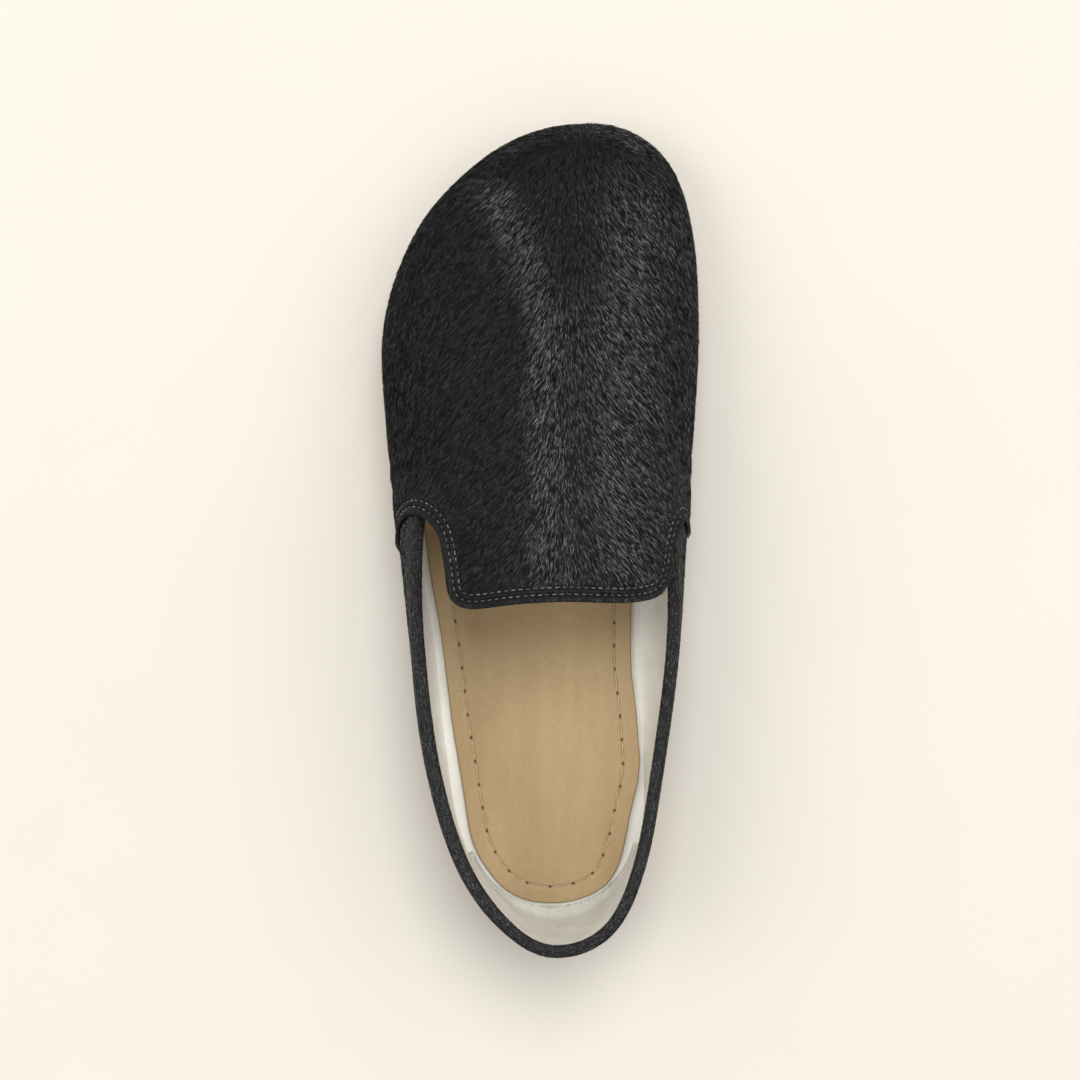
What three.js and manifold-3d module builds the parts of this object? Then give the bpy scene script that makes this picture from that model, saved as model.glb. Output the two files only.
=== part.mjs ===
import * as THREE from "three";
import { mergeVertices } from "three/addons/utils/BufferGeometryUtils.js";
import Module from "manifold-3d";

// Left barefoot slip-on, EU 38, in millimetres. +X is the inner (big toe) side, +Y the toe, +Z up.
// A flat hide outsole, an upper whose vamp laps over the quarters and whose lower edge is turned
// in over the outsole, a leather insole on that turned-in edge, a strip folded over the collar,
// and a copper rivet with its washer through the forefoot.

const wasm = await Module();
wasm.setup();

// Sizes along and across
const soleLength = 250.5; // outsole, heel to toe
const soleBallWidth = 95; // outsole at the ball
const soleHeelY = -121.3; // back of the outsole, from the drawing's middle
const bodyLength = 258; // upper at its fullest, heel to toe
const bodyBallWidth = 99.6; // upper at the ball
const bodyHeelY = -126; // back of the upper at its fullest
const instepHeight = 66; // top of the vamp at the throat, above the floor
const coneBack = 45; // the body's ridge starts this far in from the heel
const coneFront = 38; // and ends this far in from the toe

// Sole unit
const outsoleThickness = 4;
const outsoleRound = 1.4; // radius on the outsole's edges
const toeSpring = 4; // lift of the outsole at the toe
const springStartY = 66; // the forefoot is flat up to here
const insoleThickness = 2;
const insoleInset = 5.2; // insole's edge, in from the outsole's
const insoleRound = 0.5;

// Upper
const wall = 2; // hair-on hide with its lining
const featherInset = 1; // foot of the upper, in from the outsole's edge
const marginThickness = 1.6; // the edge turned in under the insole
const marginInset = 13; // inner edge of the margin, in from the outsole's
const vampStep = 1.2; // how far the vamp stands proud of the quarters at its edge
const vampStepRun = 34; // and how far forward it takes to fade out
const quarterFrontY = 16; // the quarters end here, under the vamp
const seamRake = 0.19; // the vamp's side edge leans back on its way down, mm per mm
const sideLevel = 30; // below this height the vamp's edge is that raked line
const clearance = 0.3; // between pieces that touch

// Collar strip
const stripThickness = 0.8;
const stripDepth = 4.6; // how far it comes down each side of the wall
const stripClearance = 0.4; // between the strip and the wall's two faces
const stripHeadroom = 0.95; // over the wall's edge, which is cut level while the wall leans in
const stripEndGap = 0.5; // between the strip's ends and the vamp

// Rivet through the forefoot
const rivetX = -2.3;
const rivetY = 59.5;
const washerRadius = 7.8;
const washerThickness = 1.1;
const washerDish = 0.35; // how far the washer's middle is drawn in
const peenRadius = 3.7;
const shankRadius = 2.2;
const rivetHeadRadius = 5;
const rivetHeadThickness = 0.9;
const rivetRecess = 0.15; // the rivet stays this far above the floor

// Steps of the mesh
const stepsAlong = 52;
const stepsLow = 3; // from the feather up to the fullest line
const stepsHigh = 9; // from the fullest line up to the ridge
const stepsCollar = 52;
const roundSteps = 2;
const circleSteps = 28;

// The outsole's edges. lateral and medial are shares of soleBallWidth.
const soleSections = [
  { along: 0, lateral: 0.034, medial: 0.034 },
  { along: 0.03, lateral: -0.183, medial: 0.263 },
  { along: 0.1, lateral: -0.294, medial: 0.37 },
  { along: 0.22, lateral: -0.346, medial: 0.376 },
  { along: 0.36, lateral: -0.388, medial: 0.36 },
  { along: 0.5, lateral: -0.457, medial: 0.378 },
  { along: 0.62, lateral: -0.511, medial: 0.431 },
  { along: 0.74, lateral: -0.518, medial: 0.474 },
  { along: 0.86, lateral: -0.42, medial: 0.475 },
  { along: 0.95, lateral: -0.206, medial: 0.404 },
  { along: 1, lateral: 0.135, medial: 0.135 },
];

// The upper's sections. lateral and medial are its fullest line and ridge its top line, as shares
// of bodyBallWidth. widest and crest are the heights of those two lines, as shares of instepHeight.
// full is how square the section's shoulder is: 2 is an ellipse.
const bodySections = [
  { along: 0, lateral: 0.05, medial: 0.05, widest: 0.42, crest: 1.4, ridge: 0.05, full: 3 },
  { along: 0.03, lateral: -0.112, medial: 0.229, widest: 0.42, crest: 1.4, ridge: 0.05, full: 2.9 },
  { along: 0.1, lateral: -0.25, medial: 0.32, widest: 0.43, crest: 1.34, ridge: 0.05, full: 2.6 },
  { along: 0.22, lateral: -0.349, medial: 0.381, widest: 0.46, crest: 1.2, ridge: 0.05, full: 2.4 },
  { along: 0.36, lateral: -0.4, medial: 0.43, widest: 0.47, crest: 1.08, ridge: 0.055, full: 2.3 },
  { along: 0.5, lateral: -0.442, medial: 0.457, widest: 0.42, crest: 0.955, ridge: 0.06, full: 2.2 },
  { along: 0.62, lateral: -0.482, medial: 0.485, widest: 0.36, crest: 0.81, ridge: 0.065, full: 2.15 },
  { along: 0.74, lateral: -0.495, medial: 0.503, widest: 0.31, crest: 0.655, ridge: 0.075, full: 2.15 },
  { along: 0.86, lateral: -0.403, medial: 0.487, widest: 0.27, crest: 0.51, ridge: 0.09, full: 2.2 },
  { along: 0.95, lateral: -0.2, medial: 0.41, widest: 0.25, crest: 0.43, ridge: 0.105, full: 2.2 },
  { along: 1, lateral: 0.155, medial: 0.155, widest: 0.25, crest: 0.39, ridge: 0.11, full: 2.2 },
];

// The collar's height. along is a share of bodyLength from the heel, high a share of instepHeight.
const collarSections = [
  { along: -0.05, high: 0.845 },
  { along: 0.04, high: 0.825 },
  { along: 0.14, high: 0.755 },
  { along: 0.26, high: 0.695 },
  { along: 0.38, high: 0.675 },
  { along: 0.5, high: 0.69 },
  { along: 0.62, high: 0.72 },
];

// The vamp's free edge seen from above: across as a share of bodyBallWidth and along as a share of
// bodyLength from the heel. It runs from the outer side round the tab to the inner side.
const vampEdge = [
  { across: -0.46, along: 0.484 },
  { across: -0.437, along: 0.4845 },
  { across: -0.429, along: 0.498 },
  { across: -0.415, along: 0.513 },
  { across: -0.383, along: 0.525 },
  { across: -0.334, along: 0.512 },
  { across: -0.292, along: 0.4865 },
  { across: -0.272, along: 0.456 },
  { across: -0.264, along: 0.433 },
  { across: -0.237, along: 0.417 },
  { across: -0.19, along: 0.413 },
  { across: -0.11, along: 0.4145 },
  { across: -0.02, along: 0.42 },
  { across: 0.07, along: 0.4236 },
  { across: 0.17, along: 0.422 },
  { across: 0.26, along: 0.42 },
  { across: 0.33, along: 0.421 },
  { across: 0.378, along: 0.428 },
  { across: 0.398, along: 0.445 },
  { across: 0.407, along: 0.47 },
  { across: 0.42, along: 0.498 },
  { across: 0.436, along: 0.523 },
  { across: 0.446, along: 0.513 },
  { across: 0.45, along: 0.499 },
  { across: 0.4545, along: 0.4845 },
  { across: 0.478, along: 0.484 },
];

// A smooth curve through a table's column, with the rows placed by the function place.
function through(rows, place, column) {
  const x = rows.map(place);
  const y = rows.map((row) => row[column]);
  const last = rows.length - 1;
  const rise = x.slice(1).map((at, i) => (y[i + 1] - y[i]) / (at - x[i]));
  const slope = y.map((_, i) => {
    if (i === 0 || i === last) return 0;
    const before = x[i] - x[i - 1];
    const after = x[i + 1] - x[i];
    return (rise[i - 1] * after + rise[i] * before) / (before + after);
  });
  slope[0] = 1.5 * rise[0] - 0.5 * slope[1];
  slope[last] = 1.5 * rise[last - 1] - 0.5 * slope[last - 1];
  return (at) => {
    let i = 0;
    while (i < last - 1 && at > x[i + 1]) i++;
    const span = x[i + 1] - x[i];
    const u = (at - x[i]) / span;
    return (
      y[i] * (1 + 2 * u) * (1 - u) ** 2 +
      slope[i] * span * u * (1 - u) ** 2 +
      y[i + 1] * u * u * (3 - 2 * u) +
      slope[i + 1] * span * u * u * (u - 1)
    );
  };
}

// Outlines are drawn against the angle of this turn, so that both ends come out round.
const turnAt = (along) => Math.acos(1 - 2 * along);
const alongAt = (turn) => (1 - Math.cos(turn)) / 2;
const byTurn = (row) => turnAt(row.along);
const byAlong = (row) => row.along;

const sides = { lateral: -1, medial: 1 };

function outline(rows, heelY, length, width) {
  const edges = {
    lateral: through(rows, byTurn, "lateral"),
    medial: through(rows, byTurn, "medial"),
  };
  const bare = (side, turn) =>
    new THREE.Vector2(width * edges[side](turn), heelY + length * alongAt(turn));
  return (side, turn, grow) => {
    const step = 1e-3;
    const tangent = bare(side, Math.min(turn + step, Math.PI)).sub(
      bare(side, Math.max(turn - step, 0)),
    );
    if (turn <= step || turn >= Math.PI - step) tangent.y = 0;
    const out = new THREE.Vector2(tangent.y, -tangent.x).multiplyScalar(sides[side]).normalize();
    return bare(side, turn).addScaledVector(out, grow);
  };
}

const soleOutline = outline(soleSections, soleHeelY, soleLength, soleBallWidth);
const bodyOutline = outline(bodySections, bodyHeelY, bodyLength, bodyBallWidth);
const widestAt = through(bodySections, byAlong, "widest");
const crestAt = through(bodySections, byAlong, "crest");
const ridgeAt = through(bodySections, byAlong, "ridge");
const fullAt = through(bodySections, byAlong, "full");
const highAt = through(collarSections, byAlong, "high");

const soleToeY = soleHeelY + soleLength;
const lift = (y) =>
  toeSpring * (Math.max(0, y - springStartY) / (soleToeY - springStartY)) ** 2;
const collarHeight = (y) => instepHeight * highAt((y - bodyHeelY) / bodyLength);

// A point of the upper's form. high runs from -1 at the feather, by 0 at the fullest line, to 1 at
// the ridge. grow moves the form outwards, and rise lifts its foot.
function bodyPoint(side, turn, high, grow, rise) {
  const along = alongAt(turn);
  const widest = bodyOutline(side, turn, grow);
  const widestZ = instepHeight * widestAt(along);
  if (high < 0) {
    const foot = soleOutline(side, turn, grow - featherInset);
    const footZ = outsoleThickness + clearance + rise + lift(foot.y);
    const angle = ((1 + high) * Math.PI) / 2;
    const flat = foot.lerp(widest, Math.sin(angle));
    return new THREE.Vector3(flat.x, flat.y, footZ + (widestZ - footZ) * (1 - Math.cos(angle)));
  }
  const full = fullAt(along);
  const ridgeY = bodyHeelY + coneBack + along * (bodyLength - coneBack - coneFront);
  const ridge = new THREE.Vector2(bodyBallWidth * ridgeAt(along), ridgeY);
  const even = high ** (full / 2);
  const angle = ((Math.PI / 2) * even) / (even + (1 - high) ** (full / 2));
  const flat = ridge.lerp(widest, Math.max(0, Math.cos(angle)) ** (2 / full));
  const crest = crestAt((flat.y - bodyHeelY) / bodyLength);
  const ridgeZ = instepHeight * crest + grow;
  return new THREE.Vector3(
    flat.x,
    flat.y,
    widestZ + (ridgeZ - widestZ) * Math.sin(angle) ** (2 / full),
  );
}

// Solids from a list of rings of points, each ring joined to the next, with flat ends or closed.
function geometryOf(points, triangles) {
  const geometry = new THREE.BufferGeometry().setFromPoints(points);
  geometry.setIndex(triangles);
  return geometry;
}

function solidOf(geometry) {
  const bare = geometry.clone();
  bare.deleteAttribute("normal");
  bare.deleteAttribute("uv");
  const merged = mergeVertices(bare, 1e-4);
  const index = merged.index.array;
  const kept = [];
  for (let i = 0; i < index.length; i += 3) {
    const [a, b, c] = [index[i], index[i + 1], index[i + 2]];
    if (a !== b && b !== c && c !== a) kept.push(a, b, c);
  }
  const mesh = new wasm.Mesh({
    numProp: 3,
    vertProperties: merged.attributes.position.array,
    triVerts: new Uint32Array(kept),
  });
  return new wasm.Manifold(mesh);
}

function geometryFrom(solid) {
  const { vertProperties, triVerts } = solid.getMesh();
  return new THREE.BufferGeometry()
    .setAttribute("position", new THREE.BufferAttribute(vertProperties, 3))
    .setIndex(new THREE.BufferAttribute(triVerts, 1));
}

// The rows of a loft run from heel to toe. Each row is a list of points from the outer side's foot,
// over the top, to the inner side's foot, and closes along its foot.
function loft(rows) {
  const wide = rows[0].length;
  const triangles = [];
  for (let i = 0; i < rows.length - 1; i++) {
    for (let j = 0; j < wide; j++) {
      const a = i * wide + j;
      const b = i * wide + ((j + 1) % wide);
      triangles.push(a, b, a + wide, b, b + wide, a + wide);
    }
  }
  return geometryOf(rows.flat(), triangles);
}

// The upper's form as a closed solid, grown outwards by grow(along) and with its foot raised.
function bodySolid(grow, rise) {
  const heights = [];
  for (let i = 0; i < stepsLow; i++) heights.push(i / stepsLow - 1);
  for (let i = 0; i <= stepsHigh; i++) heights.push(i / stepsHigh);
  const rows = [];
  for (let i = 0; i <= stepsAlong; i++) {
    const turn = (Math.PI * i) / stepsAlong;
    const point = (side) => (high) => bodyPoint(side, turn, high, grow(alongAt(turn)), rise);
    const up = heights.map(point("lateral"));
    const down = heights.slice(0, -1).reverse().map(point("medial"));
    rows.push([...up, ...down]);
  }
  return solidOf(loft(rows));
}

// A slab of the sole unit between two heights above its bent bottom, with rounded edges.
function slab(inset, low, high, round) {
  const levels = [];
  const steps = round > 0 ? roundSteps : 0;
  for (let i = 0; i <= steps; i++) {
    const bend = (Math.PI / 2) * (i / roundSteps);
    levels.push({ into: round * (1 - Math.sin(bend)), z: high - round * (1 - Math.cos(bend)) });
  }
  for (let i = 0; i <= steps; i++) {
    const bend = (Math.PI / 2) * (i / roundSteps);
    levels.push({ into: round * (1 - Math.cos(bend)), z: low + round * (1 - Math.sin(bend)) });
  }
  const rows = [];
  for (let i = 0; i <= stepsAlong; i++) {
    const turn = (Math.PI * i) / stepsAlong;
    const point = (side) => ({ into, z }) => {
      const flat = soleOutline(side, turn, -inset - into);
      return new THREE.Vector3(flat.x, flat.y, z + lift(flat.y));
    };
    const lateral = levels.slice().reverse().map(point("lateral"));
    const medial = levels.map(point("medial"));
    rows.push([...lateral, ...medial]);
  }
  return solidOf(loft(rows));
}

// A prism on an outline in the plane of two axes, pushed along the third.
function prism(shape, start, depth, right, up) {
  const geometry = new THREE.ExtrudeGeometry(shape, { depth, bevelEnabled: false, curveSegments: 4 });
  geometry.translate(0, 0, start);
  geometry.applyMatrix4(
    new THREE.Matrix4().makeBasis(right, up, new THREE.Vector3().crossVectors(right, up)),
  );
  return geometry;
}

const xAxis = new THREE.Vector3(1, 0, 0);
const yAxis = new THREE.Vector3(0, 1, 0);
const zAxis = new THREE.Vector3(0, 0, 1);
const farOut = 100; // past the shoe on every side

// The space under the collar's line, back from the quarters' front edge.
function quarterSpace() {
  const steps = 24;
  const backY = bodyHeelY - 10;
  const shape = new THREE.Shape();
  shape.moveTo(backY, -10);
  shape.lineTo(quarterFrontY, -10);
  for (let i = 0; i <= steps; i++) {
    const y = quarterFrontY + ((backY - quarterFrontY) * i) / steps;
    shape.lineTo(y, collarHeight(y));
  }
  return solidOf(prism(shape, -farOut, 2 * farOut, yAxis, zAxis));
}

// The space that holds the vamp, forward of its free edge. back moves that edge towards the heel.
function vampSpace(back) {
  const points = vampEdge.map(
    ({ across, along }) =>
      new THREE.Vector2(bodyBallWidth * across, bodyHeelY + bodyLength * along - back),
  );
  const sideY = points[0].y;
  const frontY = bodyHeelY + bodyLength + 20;
  const above = new THREE.Shape();
  above.moveTo(-farOut, frontY);
  above.lineTo(-farOut, sideY);
  above.lineTo(points[0].x, sideY);
  above.splineThru(points.slice(1));
  above.lineTo(farOut, sideY);
  above.lineTo(farOut, frontY);
  const below = new THREE.Shape();
  below.moveTo(sideY - seamRake * sideLevel, 0);
  below.lineTo(frontY, 0);
  below.lineTo(frontY, sideLevel);
  below.lineTo(sideY, sideLevel);
  const upperPart = solidOf(prism(above, sideLevel, farOut, xAxis, yAxis));
  return upperPart.add(solidOf(prism(below, -farOut, 2 * farOut, yAxis, zAxis)));
}

function cylinder(radius, low, high) {
  const geometry = new THREE.CylinderGeometry(radius, radius, high - low, circleSteps);
  geometry.rotateX(Math.PI / 2);
  geometry.translate(rivetX, rivetY, (low + high) / 2);
  return solidOf(geometry);
}

function makeUpper() {
  const edgeAlong = vampEdge[0].along;
  const stepAt = (along) => {
    const ahead = ((along - edgeAlong) * bodyLength) / vampStepRun;
    return vampStep * (1 - THREE.MathUtils.smoothstep(ahead, 0, 1));
  };
  const quarters = bodySolid(() => 0, 0).intersect(quarterSpace());
  const vamp = bodySolid(stepAt, 0).intersect(vampSpace(0));
  const inside = bodySolid(() => -wall, marginThickness);
  const low = outsoleThickness - 1;
  const marginHole = slab(marginInset, low, outsoleThickness + marginThickness + 2, 0);
  return geometryFrom(quarters.add(vamp).subtract(inside).subtract(marginHole));
}

function makeOutsole() {
  const slabSolid = slab(0, 0, outsoleThickness, outsoleRound);
  const seat = cylinder(
    washerRadius + clearance,
    -1,
    rivetRecess + washerThickness + washerDish + clearance,
  );
  const hole = cylinder(shankRadius + clearance, -1, outsoleThickness + 1);
  return geometryFrom(slabSolid.subtract(seat).subtract(hole));
}

const insoleLow = outsoleThickness + clearance + marginThickness + clearance;
const insoleHigh = insoleLow + insoleThickness;

function makeInsole() {
  const sheet = slab(insoleInset, insoleLow, insoleHigh, insoleRound);
  const filling = slab(marginInset + clearance, outsoleThickness + clearance, insoleLow + 1, 0);
  const hole = cylinder(shankRadius + clearance, 0, insoleHigh + 1);
  return geometryFrom(sheet.add(filling).subtract(hole));
}

// A closed shape turned about the rivet's axis. Each point is { r, z }.
function turned(profile) {
  const closed = [...profile, profile[0]].map(({ r, z }) => new THREE.Vector2(r, z));
  const geometry = new THREE.LatheGeometry(closed, circleSteps);
  geometry.rotateX(Math.PI / 2);
  geometry.translate(rivetX, rivetY, 0);
  return geometryFrom(solidOf(geometry));
}

function makeWasher() {
  const low = rivetRecess;
  const high = low + washerThickness;
  const hole = shankRadius + clearance;
  return turned([
    { r: washerRadius, z: low + 0.2 },
    { r: washerRadius, z: high },
    { r: peenRadius + clearance, z: high + washerDish },
    { r: hole, z: high + washerDish },
    { r: hole, z: low + washerDish + 0.45 },
    { r: peenRadius + clearance, z: low + washerDish + 0.45 },
    { r: peenRadius + clearance, z: low + washerDish },
    { r: washerRadius - 0.5, z: low },
    { r: washerRadius - 0.15, z: low + 0.05 },
  ]);
}

function makeRivet() {
  const low = rivetRecess + 0.1;
  const peenHigh = rivetRecess + washerDish + 0.45 - clearance;
  const headLow = insoleHigh + clearance;
  const headHigh = headLow + rivetHeadThickness;
  return turned([
    { r: peenRadius - 0.9, z: low + 0.05 },
    { r: peenRadius - 0.3, z: low },
    { r: peenRadius, z: low + 0.15 },
    { r: peenRadius, z: peenHigh },
    { r: shankRadius, z: peenHigh },
    { r: shankRadius, z: headLow },
    { r: rivetHeadRadius, z: headLow },
    { r: rivetHeadRadius, z: headHigh - 0.4 },
    { r: rivetHeadRadius - 0.4, z: headHigh },
    { r: 0, z: headHigh },
    { r: 0, z: low + 0.12 },
  ]);
}

// The place on the wall's middle where the collar's line crosses the rib at turn.
function collarPoint(side, turn, drop) {
  let low = 0;
  let high = 1;
  for (let i = 0; i < 24; i++) {
    const middle = (low + high) / 2;
    const point = bodyPoint(side, turn, middle, -wall / 2, 0);
    if (point.z < collarHeight(point.y) - drop) low = middle;
    else high = middle;
  }
  return bodyPoint(side, turn, low, -wall / 2, 0);
}

// A folded strip, U-shaped in section, that wraps the collar from one end of the vamp to the other.
function makeCollarStrip() {
  const inner = wall / 2 + stripClearance;
  const outer = inner + stripThickness;
  const section = [];
  const arc = 6;
  section.push({ out: inner, up: -stripDepth });
  section.push({ out: outer, up: -stripDepth });
  for (let i = 0; i <= arc; i++) {
    const angle = (Math.PI * i) / arc;
    section.push({ out: outer * Math.cos(angle), up: stripHeadroom + stripThickness * Math.sin(angle) });
  }
  section.push({ out: -outer, up: -stripDepth });
  section.push({ out: -inner, up: -stripDepth });
  section.push({ out: -inner, up: stripHeadroom });
  section.push({ out: inner, up: stripHeadroom });
  const frontTurn = turnAt((quarterFrontY - bodyHeelY) / bodyLength);
  const rings = [];
  for (let i = 0; i <= stepsCollar; i++) {
    const share = (2 * i) / stepsCollar - 1;
    const side = share < 0 ? "lateral" : "medial";
    const turn = Math.abs(share) * frontTurn;
    const top = collarPoint(side, turn, 0);
    const up = top.clone().sub(collarPoint(side, turn, stripDepth)).normalize();
    const near = 0.02;
    const ahead =
      turn > near
        ? collarPoint(side, turn - near, 0).sub(collarPoint(side, turn + near, 0))
        : collarPoint("lateral", near, 0)
            .sub(collarPoint("medial", near, 0))
            .multiplyScalar(sides[side]);
    const out = new THREE.Vector3().crossVectors(up, ahead).multiplyScalar(sides[side]).normalize();
    rings.push(
      section.map((corner) =>
        top.clone().addScaledVector(out, corner.out).addScaledVector(up, corner.up),
      ),
    );
  }
  return geometryFrom(strip(rings, section).subtract(vampSpace(stripEndGap)));
}

// Rings of points joined end to end, with a cap on each end. section is the rings' flat shape.
function strip(rings, section) {
  const wide = section.length;
  const last = (rings.length - 1) * wide;
  const flat = section.map(({ out, up }) => new THREE.Vector2(out, up));
  const triangles = [];
  for (let i = 0; i < rings.length - 1; i++) {
    for (let j = 0; j < wide; j++) {
      const a = i * wide + j;
      const b = i * wide + ((j + 1) % wide);
      triangles.push(a, a + wide, b, b, a + wide, b + wide);
    }
  }
  for (const [a, b, c] of THREE.ShapeUtils.triangulateShape(flat, [])) {
    triangles.push(a, b, c);
    triangles.push(last + a, last + c, last + b);
  }
  return solidOf(geometryOf(rings.flat(), triangles));
}

const colours = {
  hide: 0x9a622b,
  hair: 0x1b1c1e,
  leather: 0xb3996b,
  copper: 0xb87355,
};

const finish = (color, roughness, metalness) =>
  new THREE.MeshStandardMaterial({ color, roughness, metalness });

const shoe = new THREE.Group();
const pieces = [
  ["outsole", makeOutsole(), finish(colours.hide, 0.75, 0)],
  ["insole", makeInsole(), finish(colours.leather, 0.6, 0)],
  ["upper", makeUpper(), finish(colours.hair, 0.7, 0)],
  ["collar_strip", makeCollarStrip(), finish(colours.hair, 0.7, 0)],
  ["rivet", makeRivet(), finish(colours.copper, 0.3, 1)],
  ["rivet_washer", makeWasher(), finish(colours.copper, 0.3, 1)],
];
for (const [name, geometry, material] of pieces) {
  const mesh = new THREE.Mesh(geometry, material);
  mesh.name = name;
  shoe.add(mesh);
}

// The origin is in the middle of the shoe's length and width, on the floor.
const bounds = new THREE.Box3().setFromObject(shoe, true);
const middle = bounds.getCenter(new THREE.Vector3());
shoe.position.set(-middle.x, -middle.y, -bounds.min.z);

export default shoe;
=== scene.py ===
import math

import bpy
import numpy as np
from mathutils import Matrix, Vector, noise
from mathutils.geometry import delaunay_2d_cdt
from mathutils.kdtree import KDTree


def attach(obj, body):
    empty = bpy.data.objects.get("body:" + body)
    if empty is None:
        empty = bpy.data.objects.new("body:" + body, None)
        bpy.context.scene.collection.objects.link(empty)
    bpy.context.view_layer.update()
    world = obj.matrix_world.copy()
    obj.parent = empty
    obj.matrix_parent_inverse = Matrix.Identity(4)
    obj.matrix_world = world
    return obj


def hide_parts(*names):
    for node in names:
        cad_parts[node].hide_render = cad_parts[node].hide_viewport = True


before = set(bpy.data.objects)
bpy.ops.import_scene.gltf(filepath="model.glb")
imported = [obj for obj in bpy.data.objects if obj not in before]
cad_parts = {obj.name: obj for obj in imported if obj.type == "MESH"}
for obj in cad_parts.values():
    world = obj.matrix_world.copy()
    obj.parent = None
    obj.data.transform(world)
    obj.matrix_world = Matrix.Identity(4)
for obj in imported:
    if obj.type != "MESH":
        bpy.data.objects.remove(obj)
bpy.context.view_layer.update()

# The view. The shoe stands on a plain cream floor and is seen from straight above, toe upwards,
# under three large soft lights, the strongest of them beyond the toe, and a cream sky.
scene = bpy.context.scene
scene.view_settings.view_transform = "Standard"


def placed(name, data, place=(0, 0, 0)):
    """A new object in the scene."""
    made = bpy.data.objects.new(name, data)
    made.location = place
    scene.collection.objects.link(made)
    return made


camera_data = bpy.data.cameras.new("camera")
camera_data.sensor_width = 36
camera_data.lens = 82.57
scene.camera = placed("camera", camera_data, (-0.0002, -0.00275, 0.8))

for name, place, size, power in (
    ("soft_light_toe", (0.18, 0.95, 2.5), 1.4, 38),
    ("soft_light_inner", (1.5, 0.25, 2.0), 1.6, 8.5),
    ("soft_light_outer", (-1.5, 0.12, 2.0), 1.6, 14),
):
    lamp = bpy.data.lights.new(name, "AREA")
    lamp.shape = "DISK"
    lamp.size = size
    lamp.energy = power
    lamp.color = (1, 0.985, 0.955)
    placed(name, lamp, place).rotation_euler = (-Vector(place)).to_track_quat("-Z", "Y").to_euler()
sky = bpy.data.worlds.new("cream_sky")
sky.use_nodes = True
sky.node_tree.nodes["Background"].inputs["Color"].default_value = (1, 0.955, 0.885, 1)
sky.node_tree.nodes["Background"].inputs["Strength"].default_value = 0.62
scene.world = sky


def tone(red, green, blue):
    """A colour as the eye names it, 0 to 255, made linear."""
    linear = [((c / 255 + 0.055) / 1.055) ** 2.4 if c > 10 else c / 3294 for c in (red, green, blue)]
    return (*linear, 1)


def node(tree, kind, inputs=None, **settings):
    """A new node, with its inputs linked to sockets or set to plain values."""
    made = tree.nodes.new(kind)
    for key, value in settings.items():
        setattr(made, key, value)
    for key, value in (inputs or {}).items():
        if isinstance(value, bpy.types.NodeSocket):
            tree.links.new(value, made.inputs[key])
        else:
            made.inputs[key].default_value = value
    return made


def surface(name, roughness, **values):
    """A new material, with its tree."""
    material = bpy.data.materials.new(name)
    material.use_nodes = True
    shader = material.node_tree.nodes["Principled BSDF"]
    shader.inputs["Roughness"].default_value = roughness
    for key, value in values.items():
        shader.inputs[key.replace("_", " ")].default_value = value
    return material, material.node_tree


def feed(tree, name, value):
    """Links a value to one input of the material's shader."""
    tree.links.new(value, tree.nodes["Principled BSDF"].inputs[name])


def cloudy(tree, size, detail=3, rough=0.55, stretch=(1, 1, 1), uv_map=None):
    """Soft noise in the piece's own metres, or in the units of one of its UV maps."""
    if uv_map:
        place = node(tree, "ShaderNodeUVMap", uv_map=uv_map).outputs["UV"]
    else:
        place = node(tree, "ShaderNodeTexCoord").outputs["Object"]
    place = node(tree, "ShaderNodeMapping", {"Vector": place, "Scale": stretch}).outputs["Vector"]
    values = {"Vector": place, "Scale": size, "Detail": detail, "Roughness": rough}
    return node(tree, "ShaderNodeTexNoise", values).outputs["Fac"]


def shades(tree, value, *stops):
    """A colour that runs through the stops as the value rises. Each stop is a place and a tone."""
    ramp = node(tree, "ShaderNodeValToRGB", {"Fac": value})
    elements = ramp.color_ramp.elements
    while len(elements) < len(stops):
        elements.new(0.5)
    for element, (place, *colour) in zip(elements, stops):
        element.position = place
        element.color = tone(*colour)
    return ramp.outputs["Color"]


floor_paint, tree = surface("floor_paper", 0.95, Specular_IOR_Level=0.1)
feed(tree, "Base Color", shades(tree, cloudy(tree, 9), (0.3, 222, 219, 213), (0.7, 224, 221, 215)))
floor_mesh = bpy.data.meshes.new("floor")
corners = [(x, y, -0.0002) for x, y in ((-3, -3), (3, -3), (3, 3), (-3, 3))]
floor_mesh.from_pydata(corners, [], [(0, 1, 2, 3)])
floor_mesh.materials.append(floor_paint)
floor = placed("floor", floor_mesh)

# Outsole. A 4 mm sheet of tan hide, flat with a little spring at the toe, its edges rounded and
# rubbed smooth. Its underside is napped and wrinkled, with a groove cut for the stitches and a
# round seat for the rivet's washer.
drawing_to_shoe = np.array([-0.191, -2.751, 0])
sole_rows = np.array([
    (0, 0.034, 0.034), (0.03, -0.183, 0.263), (0.1, -0.294, 0.37), (0.22, -0.346, 0.376),
    (0.36, -0.388, 0.36), (0.5, -0.457, 0.378), (0.62, -0.511, 0.431), (0.74, -0.518, 0.474),
    (0.86, -0.42, 0.475), (0.95, -0.206, 0.404), (1, 0.135, 0.135),
])
sole_length, sole_width, sole_heel, sole_thick = 250.5, 95, -121.3, 4
toe_spring, spring_start = 4, 66
rivet_place, shank_radius = np.array([-2.3, 59.5]), 2.5


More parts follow.
